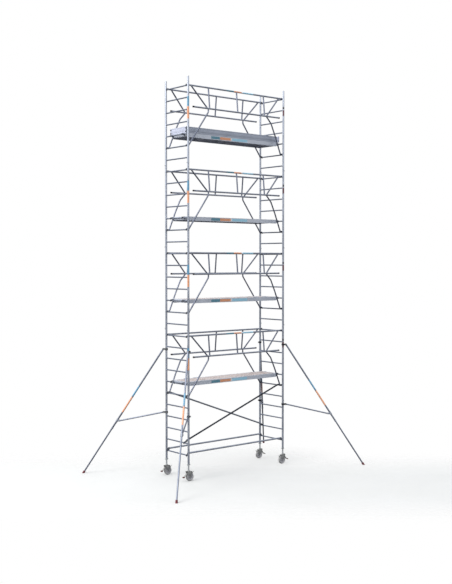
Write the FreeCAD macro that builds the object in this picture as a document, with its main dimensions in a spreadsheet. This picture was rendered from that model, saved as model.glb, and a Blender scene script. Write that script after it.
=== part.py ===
import FreeCAD, Part
import math
import os
import Sketcher
from FreeCAD import Placement, Rotation, Vector

# Mobile tower scaffold. Row frame: origin on the floor under the middle of the tower,
# X along the long side, Y across the ladders, Z up. Millimetres.

DIMENSIONS = {
    # the tower's grid
    "bay_length": 3050, "bay_width": 870, "rung_pitch": 280, "first_rung": 600,
    # ladder frames
    "upright_dia": 50, "upright_wall": 2, "upright_below": 200, "upright_above": 80,
    "rung_dia": 32, "rung_wall": 1.5, "spigot_dia": 45.2, "spigot_bore": 41,
    "spigot_reach": 130, "lock_height": 85, "lock_pin_dia": 9.5, "lock_hole_dia": 10,
    "lock_overhang": 16, "lock_head": 5, "lock_loop": 26, "lock_wire": 3.2, "lock_loop_drop": 11,
    # guardrail frames
    "rail_dia": 40, "rail_wall": 2, "strut_dia": 35, "strut_wall": 1.8, "rail_rise": 15,
    "guard_inset": 50, "knee_drop": 485, "knee_reach": 1380, "rail_gap": 45,
    "post_spacing": 880, "bend_radius": 90, "cap_length": 16, "cap_head": 6, "cap_skirt": 26,
    "guard_diagonal_top": 1405, "guard_diagonal_foot": 945,
    # platforms
    "deck_rise": 35, "deck_thick": 12, "platform_half": 290, "side_depth": 95,
    "side_reach": 1420, "end_beam": 40, "hatch_start": -1250, "hatch_end": -550,
    "hatch_gap": 5, "hinge_across": 256, "hinge_rise": 43, "hinge_pin_dia": 8,
    "knuckle_dia": 14, "knuckle_length": 60, "knuckle_inset": 110, "hatch_rim": 3,
    "hand_hole_inset": 60, "hand_hole_half": 45, "hand_hole_end": 16, "side_return": 40,
    "end_beam_wall": 3, "end_beam_foot": 45, "cross_width": 36, "cross_height": 40,
    "cross_wall": 2.5, "platform_claw_across": 225,
    # toe boards
    "toe_height": 150, "toe_thick": 22, "toe_wall": 2, "toe_overhang": 60, "clip_height": 26, "clip_width": 44,
    # braces
    "brace_dia": 42, "diagonal_dia": 40, "brace_rise": 50, "hook_thick": 28,
    "diagonal_half": 1455, "diagonal_lift": 30, "diagonal_near": 285, "diagonal_far": 340,
    # castors
    "wheel_dia": 200, "wheel_width": 50, "wheel_trail": 34, "axle_dia": 16, "bolt_dia": 24,
    "fork_inside": 30, "fork_plate": 4, "crown_height": 222, "crown_thick": 10,
    "race_height": 14, "race_dia": 60, "spindle_dia": 38, "spindle_bore": 28,
    "spindle_length": 560, "kingpin_dia": 16, "nut_height": 28, "nut_dia": 54,
    "pedal_pivot_out": 50, "pedal_pivot_height": 190, "pedal_pin_dia": 10,
    # stabilizers
    "clamp_upper": 3055, "clamp_lower": 1525, "clamp_height": 46, "clamp_dia": 74,
    "clamp_bore": 50.6, "leg_pivot": 78, "foot_radius": 2060, "leg_dia": 42, "leg_wall": 2.5,
    "inner_leg_dia": 36.8, "outer_leg_length": 2330, "inner_leg_start": 1480,
    "arm_dia": 34, "arm_wall": 2.5, "arm_leg_station": 2080, "foot_cap_dia": 54,
    "foot_cap_length": 66, "ear_inside": 22, "ear_thick": 7, "ear_half_height": 20,
    "pivot_bolt_dia": 10, "pivot_bolt_length": 74, "clamp_bolt_dia": 12, "bracket_length": 80,
    "leg_overrun": 18, "arm_overrun": 14, "arm_end_back": 62, "arm_end_drop": 10,
    # running fits and the air left between neighbours
    "fit": 0.05, "gap": 0.3,
}

document = FreeCAD.newDocument("mobile_tower")
sheet = document.addObject("Spreadsheet::Sheet", "sheet")
for row, (alias, value) in enumerate(DIMENSIONS.items(), start=1):
    sheet.set(f"A{row}", alias)
    sheet.set(f"B{row}", str(value))
    sheet.setAlias(f"B{row}", alias)
document.recompute()

UP = Vector(0, 0, 1)
ALONG_X = Rotation(UP, Vector(1, 0, 0))
ALONG_Y = Rotation(UP, Vector(0, 1, 0))
HALF_TURN = Rotation(UP, 180)


def size(alias):
    return float(sheet.get(alias))


def place(x=0.0, y=0.0, z=0.0, turn=None):
    return Placement(Vector(x, y, z), turn or Rotation())


def bind(feature, **formulas):
    for name, formula in formulas.items():
        feature.setExpression(name, formula)
    return feature


# ---- straight and bent tubes -------------------------------------------------------------

def cylinder(name, diameter, length, placement):
    """A round bar: diameter is a formula of the sheet, length a formula or millimetres."""
    bar = document.addObject("Part::Cylinder", name)
    bind(bar, Radius=f"({diameter}) / 2")
    if isinstance(length, str):
        bind(bar, Height=length)
    else:
        bar.Height = length
    bar.Placement = placement
    return bar


def box(name, low, high):
    block = document.addObject("Part::Box", name)
    block.Length = high[0] - low[0]
    block.Width = high[1] - low[1]
    block.Height = high[2] - low[2]
    block.Placement = place(*low)
    return block


def cut(name, base, tool):
    result = document.addObject("Part::Cut", name)
    result.Base = base
    result.Tool = tool
    return result


def fuse(name, base, tool):
    result = document.addObject("Part::Fuse", name)
    result.Base = base
    result.Tool = tool
    return result


def compound(name, pieces, placement=None):
    group = document.addObject("Part::Compound", name)
    group.Links = pieces
    group.Label = name
    if placement:
        group.Placement = placement
    return group


def tube(name, diameter, wall, length, placement):
    outer = cylinder(name + "_outer", diameter, length, placement)
    inner = cylinder(name + "_bore", f"{diameter} - 2 * ({wall})", length, placement)
    return cut(name, outer, inner)


def run(name, diameter, wall, start, end):
    """A straight tube from one point to another."""
    way = end - start
    return tube(name, diameter, wall, way.Length, Placement(start, Rotation(UP, way)))


def torus(name, diameter, angle, placement):
    ring = document.addObject("Part::Torus", name)
    bind(ring, Radius1="sheet.bend_radius", Radius2=f"({diameter}) / 2")
    ring.Angle3 = angle
    ring.Placement = placement
    return ring


def bent_tube(name, diameter, wall, points):
    """Straight runs between the points, joined by tangent bends of the sheet's radius."""
    radius = size("bend_radius")
    pieces = []
    start = points[0]
    for number, (before, corner, after) in enumerate(zip(points, points[1:], points[2:])):
        way_in = (corner - before).normalize()
        way_out = (after - corner).normalize()
        turn = way_in.getAngle(way_out)
        reach = radius * math.tan(turn / 2)
        touch = corner - way_in * reach
        axis = way_in.cross(way_out).normalize()
        inward = axis.cross(way_in)
        frame = Rotation(inward * -1, way_in, axis, "ZXY")
        spot = Placement(touch + inward * radius, frame)
        sweep = math.degrees(turn)
        outer = torus(f"{name}_bend_{number}_outer", diameter, sweep, spot)
        inner = torus(f"{name}_bend_{number}_bore", f"{diameter} - 2 * ({wall})", sweep, spot)
        pieces.append(run(f"{name}_run_{number}", diameter, wall, start, touch))
        pieces.append(cut(f"{name}_bend_{number}", outer, inner))
        start = corner + way_out * reach
    pieces.append(run(f"{name}_run_end", diameter, wall, start, points[-1]))
    return pieces


# ---- sketched bodies ---------------------------------------------------------------------

def new_body(name):
    body = document.addObject("PartDesign::Body", name)
    body.AllowCompound = True
    return body


def new_sketch(body, name, role, offset=0.0):
    """A sketch on one of the body's own origin planes, moved along that plane's normal."""
    plane = next(item for item in body.Origin.OriginFeatures if item.Role == role)
    sketch = body.newObject("Sketcher::SketchObject", name)
    sketch.AttachmentSupport = [(plane, "")]
    sketch.MapMode = "FlatFace"
    sketch.AttachmentOffset = place(0, 0, offset)
    return sketch


def add_circle(sketch, diameter, x=0.0, y=0.0):
    """A circle whose diameter is a formula of the sheet."""
    circle = sketch.addGeometry(Part.Circle(Vector(x, y, 0), UP, 10), False)
    rule = sketch.addConstraint(Sketcher.Constraint("Diameter", circle, 20))
    sketch.setExpression(f"Constraints[{rule}]", diameter)


def add_outline(sketch, points):
    """A closed outline; a point given as a pair of points is an arc's middle and end."""
    curves = []
    here = Vector(*points[0], 0)
    for target in points[1:] + points[:1]:
        if isinstance(target[0], tuple):
            middle, end = (Vector(*spot, 0) for spot in target)
            curves.append(Part.Arc(here, middle, end))
        else:
            end = Vector(*target, 0)
            curves.append(Part.LineSegment(here, end))
        here = end
    first = sketch.addGeometry(curves, False)[0]
    for number, curve in enumerate(curves):
        if isinstance(curve, Part.LineSegment):
            sketch.addConstraint(Sketcher.Constraint("Block", first + number))


def pad(body, name, sketch, length, midplane=False, backwards=False):
    feature = body.newObject("PartDesign::Pad", name)
    feature.Profile = sketch
    feature.Midplane = midplane
    feature.Reversed = backwards
    bind(feature, Length=length)
    return feature


def pocket_through(body, name, sketch):
    feature = body.newObject("PartDesign::Pocket", name)
    feature.Profile = sketch
    feature.Type = "ThroughAll"
    feature.Midplane = True
    return feature


def revolve(body, name, sketch, axis):
    feature = body.newObject("PartDesign::Revolution", name)
    feature.Profile = sketch
    feature.ReferenceAxis = (sketch, [axis])
    feature.Angle = 360
    return feature


def plate(name, role, outline, thickness, holes=(), offset=0.0):
    """A flat plate of a closed outline, padded both ways, with holes of (diameter, x, y)."""
    body = new_body(name)
    sketch = new_sketch(body, name + "_sketch", role, offset)
    add_outline(sketch, outline)
    pad(body, name + "_pad", sketch, thickness, midplane=True)
    if holes:
        openings = new_sketch(body, name + "_holes", role, offset)
        for diameter, x, y in holes:
            add_circle(openings, diameter, x, y)
        pocket_through(body, name + "_drill", openings)
    return body


nodes = []


def node(name, pieces, placement=None):
    nodes.append(compound(name, pieces, placement))


# ---- ladder frames -----------------------------------------------------------------------

def ladder(name, rungs, foot_holes):
    """A welded frame of two uprights, its rungs and the spigots that hold the next frame.

    Its origin is on the lowest rung, midway between the uprights.
    """
    half = size("bay_width") / 2
    top = (rungs - 1) * size("rung_pitch") + size("upright_above")
    bottom = -size("upright_below")
    reach = size("spigot_reach")
    pieces = []
    for side, across in (("near", -half), ("far", half)):
        upright = tube(f"{name}_{side}_upright", "sheet.upright_dia", "sheet.upright_wall",
                       f"{top - bottom}", place(0, across, bottom))
        if foot_holes:
            hole = cylinder(f"{name}_{side}_foot_hole", "sheet.lock_hole_dia", "sheet.upright_dia * 2",
                            place(-size("upright_dia"), across, bottom + size("lock_height"), ALONG_X))
            upright = cut(f"{name}_{side}_upright_drilled", upright, hole)
        plug = cylinder(f"{name}_{side}_plug", "sheet.upright_dia - 2 * sheet.upright_wall",
                        "sheet.spigot_reach", place(0, across, top - reach))
        tongue = cylinder(f"{name}_{side}_tongue", "sheet.spigot_dia", "sheet.spigot_reach",
                          place(0, across, top))
        blank = fuse(f"{name}_{side}_spigot_blank", plug, tongue)
        spigot = cut(f"{name}_{side}_spigot", blank, cylinder(
            f"{name}_{side}_spigot_bore", "sheet.spigot_bore", "2 * sheet.spigot_reach",
            place(0, across, top - reach)))
        hole = cylinder(f"{name}_{side}_spigot_hole", "sheet.lock_hole_dia", "sheet.upright_dia * 2",
                        place(-size("upright_dia"), across, top + size("lock_height"), ALONG_X))
        pieces += [upright, cut(f"{name}_{side}_spigot_drilled", spigot, hole)]
    body = new_body(name + "_rungs")
    section = new_sketch(body, name + "_rung_section", "XZ_Plane")
    add_circle(section, "sheet.rung_dia")
    add_circle(section, "sheet.rung_dia - 2 * sheet.rung_wall")
    bar = pad(body, name + "_rung", section, "sheet.bay_width", midplane=True)
    saddle = new_sketch(body, name + "_saddles", "XY_Plane")
    for across in (-half, half):
        add_circle(saddle, "sheet.upright_dia", 0, across)
    coping = pocket_through(body, name + "_coping", saddle)
    document.recompute()
    rows = body.newObject("PartDesign::LinearPattern", name + "_rows")
    rows.Originals = [bar, coping]
    rows.Direction = (saddle, ["N_Axis"])
    rows.Occurrences = rungs
    bind(rows, Length=f"{rungs - 1} * sheet.rung_pitch")
    body.Tip = rows
    return compound(name, pieces + [body])


HALF_LENGTH = size("bay_length") / 2
HALF_WIDTH = size("bay_width") / 2
PITCH = size("rung_pitch")
FRAME_RUNGS = (4, 7, 7, 7, 7)


def rung_height(number):
    return size("first_rung") + number * PITCH


short_ladder = ladder("short_ladder", FRAME_RUNGS[0], False)
tall_ladder = ladder("tall_ladder", FRAME_RUNGS[1], True)
joint_heights = []
lowest = 0
for level, rungs in enumerate(FRAME_RUNGS, start=1):
    master = short_ladder if level == 1 else tall_ladder
    for side, x in (("left", -HALF_LENGTH), ("right", HALF_LENGTH)):
        node(f"end_frame_{side}_{level}", [master], place(x, 0, rung_height(lowest)))
    lowest += rungs
    if level < len(FRAME_RUNGS):
        joint_heights.append(rung_height(lowest - 1) + size("upright_above"))

# Lock pins: a cross pin with a head and a wire loop at each joint of the uprights.
pin_end = (size("upright_dia") + size("lock_overhang")) / 2
lock_shank = cylinder("lock_shank", "sheet.lock_pin_dia", "sheet.upright_dia + sheet.lock_overhang",
                      place(-pin_end, 0, 0, ALONG_X))
lock_head = cylinder("lock_head", "sheet.lock_pin_dia * 2", "sheet.lock_head", place(pin_end, 0, 0, ALONG_X))
lock_loop = document.addObject("Part::Torus", "lock_loop")
bind(lock_loop, Radius1="sheet.lock_loop / 2", Radius2="sheet.lock_wire / 2")
loop_x = pin_end + size("lock_head") + size("lock_wire")
lock_loop.Placement = place(loop_x, 0, -size("lock_loop_drop"), ALONG_X)
lock_master = compound("lock_master", [lock_shank, lock_head, lock_loop])
locks = []
for joint in joint_heights:
    for side, x, turn in (("left", -HALF_LENGTH, HALF_TURN), ("right", HALF_LENGTH, None)):
        for row_name, y in (("near", -HALF_WIDTH), ("far", HALF_WIDTH)):
            spot = place(x, y, joint + size("lock_height"), turn)
            locks.append(compound(f"lock_{side}_{row_name}_{int(joint)}", [lock_master], spot))
node("frame_lock_pins", locks)


# ---- hooks over the rungs ----------------------------------------------------------------

def hook(name, outline, thickness):
    """A cast claw over a rung at the origin; its outline is in the XZ plane, tail towards +X."""
    body = plate(name, "XZ_Plane", outline, thickness)
    saddle = size("rung_dia") / 2 + size("gap")
    mouth = new_sketch(body, name + "_mouth", "XZ_Plane")
    add_outline(mouth, [(-saddle, -60), (-saddle, 0), ((0, saddle), (saddle, 0)), (saddle, -60)])
    pocket_through(body, name + "_slot", mouth)
    return body


def claw(top):
    """The outline of a claw's crown and tail, from its top at the left round to its underside."""
    return [(4, top), (22, top - 9), (30, top - 22), (30, -24), (10, -24)]


gap_to_rail = size("rail_gap")
rail_top = size("rail_rise") + size("rail_dia") / 2
rail_foot = size("rail_rise") - size("rail_dia") / 2
rail_hook = hook("rail_hook", [(-gap_to_rail, rail_foot), (-gap_to_rail, rail_top)] + claw(rail_top)
                 + [(10, rail_foot)], "sheet.hook_thick")
brace_top = size("brace_rise") + size("brace_dia") / 2
brace_foot = size("brace_rise") - size("brace_dia") / 2
brace_hook = hook("brace_hook", [(-gap_to_rail, brace_foot), (-gap_to_rail, brace_top), (-18, brace_top)]
                  + claw(brace_foot) + [(10, 4), (-30, 4)], "sheet.hook_thick")


def leg_hook(name, end, way):
    """A claw whose inner edge is square to a strut that arrives at end along way."""
    half = size("strut_dia") / 2
    across = (-way[1] * half, way[0] * half)
    end = (end[0] + way[0], end[1] + way[1])
    upper = (end[0] + across[0], end[1] + across[1])
    lower = (end[0] - across[0], end[1] - across[1])
    return hook(name, [lower, upper, (-20, 32)] + claw(32) + [(10, -12), (-46, -12)], "sheet.hook_thick")


# ---- guardrail frames --------------------------------------------------------------------
# Origin: between the two top hooks, on the rung that carries the top rail. The knee rail
# stands further out (towards -Y) than the top rail.

rise = size("rail_rise")
knee_out = -size("guard_inset")
knee_z = -size("knee_drop")
post_x = size("post_spacing")
rail_end = HALF_LENGTH - gap_to_rail
LEG_END = (-60, 24)
lower_rung = -5 * PITCH
straight_leg = [Vector(-920, knee_out, knee_z), Vector(-920, knee_out, knee_z - 85),
                Vector(-HALF_LENGTH - LEG_END[0], 0, lower_rung + LEG_END[1])]
bent_leg = [Vector(935, knee_out, knee_z), Vector(1100, knee_out, knee_z - 170),
            Vector(1266, knee_out / 2, knee_z - 470),
            Vector(HALF_LENGTH + LEG_END[0], 0, lower_rung + LEG_END[1])]
straight_way = (straight_leg[-1] - straight_leg[-2]).normalize()
bent_way = (bent_leg[-1] - bent_leg[-2]).normalize()

top_rail = run("guard_top_rail", "sheet.rail_dia", "sheet.rail_wall",
               Vector(-rail_end, 0, rise), Vector(rail_end, 0, rise))
knee_rail = run("guard_knee_rail", "sheet.rail_dia", "sheet.rail_wall",
                Vector(-size("knee_reach"), knee_out, knee_z), Vector(size("knee_reach"), knee_out, knee_z))
struts = []
for number, x in enumerate((-post_x, 0, post_x), start=1):
    struts += [run(f"guard_post_{number}", "sheet.strut_dia", "sheet.strut_wall",
                   Vector(x, 0, rise), Vector(x, knee_out, knee_z))]
for side, sign in (("left", -1), ("right", 1)):
    struts += [run(f"guard_diagonal_{side}", "sheet.strut_dia", "sheet.strut_wall",
                   Vector(sign * size("guard_diagonal_top"), 0, rise),
                   Vector(sign * size("guard_diagonal_foot"), knee_out, knee_z))]
struts += bent_tube("guard_straight_leg", "sheet.strut_dia", "sheet.strut_wall", straight_leg)
struts += bent_tube("guard_bent_leg", "sheet.strut_dia", "sheet.strut_wall", bent_leg)
rail_bars = compound("guard_rail_bars", [
    cylinder("guard_top_bar", "sheet.rail_dia", 2 * rail_end, place(-rail_end, 0, rise, ALONG_X)),
    cylinder("guard_knee_bar", "sheet.rail_dia", 2 * size("knee_reach"),
             place(-size("knee_reach"), knee_out, knee_z, ALONG_X))])
coped_struts = [cut(strut.Name + "_coped", strut, rail_bars) for strut in struts]
guard_master = compound("guard_master", [top_rail, knee_rail] + coped_struts)
straight_hook = leg_hook("straight_leg_hook", LEG_END, (-straight_way.x, straight_way.z))
bent_hook = leg_hook("bent_leg_hook", LEG_END, (bent_way.x, bent_way.z))
guard_hooks = compound("guard_hooks", [
    compound("guard_hook_left", [rail_hook], place(-HALF_LENGTH, 0, 0, HALF_TURN)),
    compound("guard_hook_right", [rail_hook], place(HALF_LENGTH, 0, 0)),
    compound("guard_hook_low_left", [straight_hook], place(-HALF_LENGTH, 0, lower_rung, HALF_TURN)),
    compound("guard_hook_low_right", [bent_hook], place(HALF_LENGTH, 0, lower_rung))])
cap_plug = cylinder("cap_plug", "sheet.rail_dia - 2 * sheet.rail_wall - 0.2", "sheet.cap_length",
                    place(-size("cap_length"), 0, 0, ALONG_X))
cap_head = cylinder("cap_head", "sheet.rail_dia + 2", "sheet.cap_head", place(0, 0, 0, ALONG_X))
cap_skirt = tube("cap_skirt", "sheet.rail_dia + 2", "0.95", "sheet.cap_skirt",
                 place(-size("cap_skirt"), 0, 0, ALONG_X))
cap_master = fuse("cap_master", fuse("cap_core", cap_plug, cap_head), cap_skirt)
guard_caps = compound("guard_caps", [
    compound("guard_cap_left", [cap_master], place(-size("knee_reach"), knee_out, knee_z, HALF_TURN)),
    compound("guard_cap_right", [cap_master], place(size("knee_reach"), knee_out, knee_z))])

GUARD_RUNGS = (10, 17, 24, 31)
inner_plane = HALF_WIDTH - size("guard_inset")
all_hooks = []
all_caps = []
for level, rung in enumerate(GUARD_RUNGS, start=1):
    near = place(0, -inner_plane, rung_height(rung))
    far = place(0, inner_plane, rung_height(rung), HALF_TURN)
    pair = []
    for side, spot in (("near", near), ("far", far)):
        pair.append(compound(f"guardrail_{side}_{level}", [guard_master], spot))
        all_hooks.append(compound(f"guard_hooks_{side}_{level}", [guard_hooks], spot))
        all_caps.append(compound(f"guard_caps_{side}_{level}", [guard_caps], spot))
    node(f"guardrails_level_{level}", pair)
node("rail_end_caps", all_caps)

# ---- braces ------------------------------------------------------------------------------

brace_master = run("brace_master", "sheet.brace_dia", "sheet.rail_wall",
                   Vector(-rail_end, 0, size("brace_rise")), Vector(rail_end, 0, size("brace_rise")))
braces = []
for side, y in (("near", -inner_plane), ("far", inner_plane)):
    braces.append(compound(f"horizontal_brace_{side}", [brace_master], place(0, y, rung_height(0))))
    for end, x, turn in (("left", -HALF_LENGTH, HALF_TURN), ("right", HALF_LENGTH, None)):
        spot = place(x, y, rung_height(0), turn)
        all_hooks.append(compound(f"brace_hook_{side}_{end}", [brace_hook], spot))
node("horizontal_braces", braces)

diagonal_half = size("diagonal_half")
diagonal_drop = 2 * PITCH * diagonal_half / HALF_LENGTH
diagonal_lift = size("diagonal_lift")
diagonal_master = run("diagonal_master", "sheet.diagonal_dia", "sheet.rail_wall",
                      Vector(-diagonal_half, 0, diagonal_lift - diagonal_drop),
                      Vector(diagonal_half, 0, diagonal_lift + diagonal_drop))
diagonal_slope = math.atan2(diagonal_drop, diagonal_half)
face_x = -(HALF_LENGTH - diagonal_half)
half_face = size("diagonal_dia") / 2


def diagonal_hook(name, slope):
    """A claw whose inner edge is square to a brace that arrives at the slope's angle."""
    lean = (math.sin(slope) * half_face, math.cos(slope) * half_face)
    middle = (face_x, diagonal_lift - math.tan(slope) * (HALF_LENGTH - diagonal_half))
    upper = (middle[0] - lean[0], middle[1] + lean[1])
    lower = (middle[0] + lean[0], middle[1] - lean[1])
    return hook(name, [lower, upper, (-20, 34)] + claw(34) + [(10, -8), (-24, -8)], "sheet.hook_thick")


rising_hook = diagonal_hook("rising_hook", diagonal_slope)
falling_hook = diagonal_hook("falling_hook", -diagonal_slope)
middle_rung = rung_height(3)
diagonals = []
for side, y, turn in (("near", -size("diagonal_near"), None), ("far", size("diagonal_far"), HALF_TURN)):
    diagonals.append(compound(f"diagonal_brace_{side}", [diagonal_master], place(0, y, middle_rung, turn)))
    hook_pair = compound(f"diagonal_hooks_{side}", [
        compound(f"diagonal_hook_{side}_low", [falling_hook], place(-HALF_LENGTH, 0, -2 * PITCH, HALF_TURN)),
        compound(f"diagonal_hook_{side}_high", [rising_hook], place(HALF_LENGTH, 0, 2 * PITCH))])
    all_hooks.append(compound(f"diagonal_hook_set_{side}", [hook_pair], place(0, y, middle_rung, turn)))
node("diagonal_braces", diagonals)
node("rail_hooks", all_hooks)

# ---- platforms ---------------------------------------------------------------------------
# Origin: between the two rungs that carry the platform. The hatch is at the -X end.

deck_top = size("deck_rise")
deck_low = deck_top - size("deck_thick")
edge = size("platform_half")
side_end = size("side_reach")
base_z = deck_top - size("side_depth")
ledge_top = deck_low - 0.4
side_body = new_body("platform_side")
side_section = new_sketch(side_body, "side_section", "YZ_Plane")
inner_face = edge - size("side_return")
add_outline(side_section, [
    (edge, base_z), (edge, deck_top), (inner_face, deck_top), (inner_face, ledge_top),
    (edge - 54, ledge_top), (edge - 54, ledge_top - 4.6), (inner_face, ledge_top - 4.6),
    (inner_face, -5), (edge - 4, -5), (edge - 4, base_z + 4), (edge - 28, base_z + 4),
    (edge - 28, base_z)])
add_outline(side_section, [
    (edge - 3, -2), (edge - 3, deck_top - 3), (inner_face + 3, deck_top - 3), (inner_face + 3, -2)])
pad(side_body, "side_extrusion", side_section, "2 * sheet.side_reach", midplane=True)

hatch_start = size("hatch_start")
hatch_end = size("hatch_end")
beam_top = ledge_top - 4.8
platform_pieces = [
    compound("platform_side_far", [side_body]),
    compound("platform_side_near", [side_body], place(turn=HALF_TURN))]
beam_wall = size("end_beam_wall")
beam_foot = -size("end_beam_foot")
for side, low in (("left", -side_end - size("end_beam")), ("right", side_end)):
    high = low + size("end_beam")
    outer = box(f"end_beam_{side}_outer", (low, -edge, beam_foot), (high, edge, deck_top))
    inner = box(f"end_beam_{side}_bore", (low + beam_wall, -edge, beam_foot + beam_wall),
                (high - beam_wall, edge, deck_top - beam_wall))
    platform_pieces.append(cut(f"end_beam_{side}", outer, inner))
cross_half = size("cross_width") / 2
cross_wall = size("cross_wall")
cross_foot = beam_top - size("cross_height")
beside_hatch = cross_half + 6
for number, x in enumerate((hatch_start - beside_hatch, hatch_end + beside_hatch, 80, 750), start=1):
    outer = box(f"cross_{number}_outer", (x - cross_half, -inner_face, cross_foot),
                (x + cross_half, inner_face, beam_top))
    inner = box(f"cross_{number}_bore", (x - cross_half + cross_wall, -inner_face, cross_foot + cross_wall),
                (x + cross_half - cross_wall, inner_face, beam_top - cross_wall))
    platform_pieces.append(cut(f"cross_beam_{number}", outer, inner))

# The hatch's hinge: fixed knuckles stand on the side profile, the hatch's own lie between.
hinge_y = size("hinge_across")
hinge_z = size("hinge_rise")
knuckle = size("knuckle_length")
knuckle_inset = size("knuckle_inset")
hinge_stations = (hatch_start + knuckle_inset, hatch_end - knuckle_inset - 3 * knuckle)


def knuckle_at(name, x, fit):
    outer = cylinder(name + "_outer", "sheet.knuckle_dia", f"sheet.knuckle_length - {2 * fit}",
                     place(x + fit, hinge_y, hinge_z, ALONG_X))
    bore = cylinder(name + "_bore", f"sheet.hinge_pin_dia + {2 * size('fit')}", "sheet.knuckle_length",
                    place(x, hinge_y, hinge_z, ALONG_X))
    return cut(name, outer, bore)


knuckle_foot = hinge_z - size("knuckle_dia") / 2
hatch_pieces = []
for number, start in enumerate(hinge_stations, start=1):
    for place_name, x in (("a", start), ("c", start + 2 * knuckle)):
        platform_pieces.append(knuckle_at(f"hinge_{number}_{place_name}", x, 0.0))
        platform_pieces.append(box(f"hinge_{number}_{place_name}_foot", (x, hinge_y - 5, deck_top),
                                   (x + knuckle, hinge_y + 5, knuckle_foot)))
    platform_pieces.append(cylinder(f"hinge_{number}_pin", "sheet.hinge_pin_dia", 3 * knuckle + 6,
                                    place(start - 3, hinge_y, hinge_z, ALONG_X)))
    hatch_pieces.append(knuckle_at(f"hatch_knuckle_{number}", start + knuckle, 0.5))
    hatch_pieces.append(box(f"hatch_leaf_{number}", (start + knuckle + 0.5, hinge_y - 70, deck_top + 0.4),
                            (start + 2 * knuckle - 0.5, hinge_y, knuckle_foot)))
platform_master = compound("platform_master", platform_pieces)

# The hatch: a plywood panel with a hand hole, in a thin aluminium edge.
clearance = size("hatch_gap")
hatch_low = (hatch_start + clearance, clearance - inner_face)
hatch_high = (hatch_end - clearance, inner_face - clearance)
rim = size("hatch_rim")
for side, low, high in (
        ("near", hatch_low, (hatch_high[0], hatch_low[1] + rim)),
        ("far", (hatch_low[0], hatch_high[1] - rim), hatch_high),
        ("left", (hatch_low[0], hatch_low[1] + rim), (hatch_low[0] + rim, hatch_high[1] - rim)),
        ("right", (hatch_high[0] - rim, hatch_low[1] + rim), (hatch_high[0], hatch_high[1] - rim))):
    hatch_pieces.append(box(f"hatch_rim_{side}", (*low, deck_low), (*high, deck_top)))
hatch_middle = (hatch_start + hatch_end) / 2
panel = new_body("hatch_panel")
panel_sketch = new_sketch(panel, "hatch_panel_sketch", "XY_Plane", deck_low)
add_outline(panel_sketch, [
    (hatch_low[0] + rim, hatch_low[1] + rim), (hatch_high[0] - rim, hatch_low[1] + rim),
    (hatch_high[0] - rim, hatch_high[1] - rim), (hatch_low[0] + rim, hatch_high[1] - rim)])
hand_y = hatch_low[1] + size("hand_hole_inset")
hand_left = hatch_middle - size("hand_hole_half")
hand_right = hatch_middle + size("hand_hole_half")
hand_end = size("hand_hole_end")
add_outline(panel_sketch, [
    (hand_left, hand_y - hand_end), (hand_right, hand_y - hand_end),
    ((hand_right + hand_end, hand_y), (hand_right, hand_y + hand_end)),
    (hand_left, hand_y + hand_end)])
pad(panel, "hatch_panel_pad", panel_sketch, "sheet.deck_thick")
hatch_pieces.append(panel)
hatch_master = compound("hatch_master", hatch_pieces)

deck_edge = inner_face - 1
deck_master = compound("deck_master", [
    box("deck_short", (1 - side_end, -deck_edge, deck_low), (hatch_start, deck_edge, deck_top)),
    box("deck_long", (hatch_end, -deck_edge, deck_low), (side_end - 1, deck_edge, deck_top))])

# Platform claws: two at each end, over the rung.
claw_back = HALF_LENGTH - side_end - size("end_beam")
platform_hook = hook("platform_hook", [(-claw_back, -30), (-claw_back, 30)] + claw(30)
                     + [(10, -10), (-30, -14)], "sheet.hook_thick + 12")
platform_claws = []
for number, (x, y) in enumerate(((-1, -1), (-1, 1), (1, -1), (1, 1)), start=1):
    spot = place(x * HALF_LENGTH, y * size("platform_claw_across"), 0, HALF_TURN if x < 0 else None)
    platform_claws.append(compound(f"platform_claw_{number}", [platform_hook], spot))
claw_set = compound("claw_set", platform_claws)

PLATFORM_RUNGS = (6, 13, 20, 27)
deck_sets = []
claw_sets = []
for level, rung in enumerate(PLATFORM_RUNGS, start=1):
    spot = place(0, 0, rung_height(rung), HALF_TURN if level % 2 == 0 else None)
    node(f"platform_frame_{level}", [platform_master], spot)
    node(f"trapdoor_{level}", [hatch_master], spot)
    deck_sets.append(compound(f"decks_{level}", [deck_master], spot))
    claw_sets.append(compound(f"claws_{level}", [claw_set], spot))
node("deck_panels", deck_sets)
node("platform_hooks", claw_sets)

# ---- toe boards on the top platform ------------------------------------------------------

top_deck = rung_height(PLATFORM_RUNGS[-1]) + deck_top
toe = size("toe_thick")
toe_end = side_end + size("end_beam")


def hollow_board(name, low, high, along):
    """A hollow board standing on the deck, open at its two ends along X or Y."""
    outer = box(name + "_outer", low, high)
    wall = size("toe_wall")
    inset_x = 0 if along == "x" else wall
    inset_y = 0 if along == "y" else wall
    inner = box(name + "_bore", (low[0] + inset_x, low[1] + inset_y, low[2] + wall),
                (high[0] - inset_x, high[1] - inset_y, high[2] - wall))
    return cut(name, outer, inner)


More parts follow.
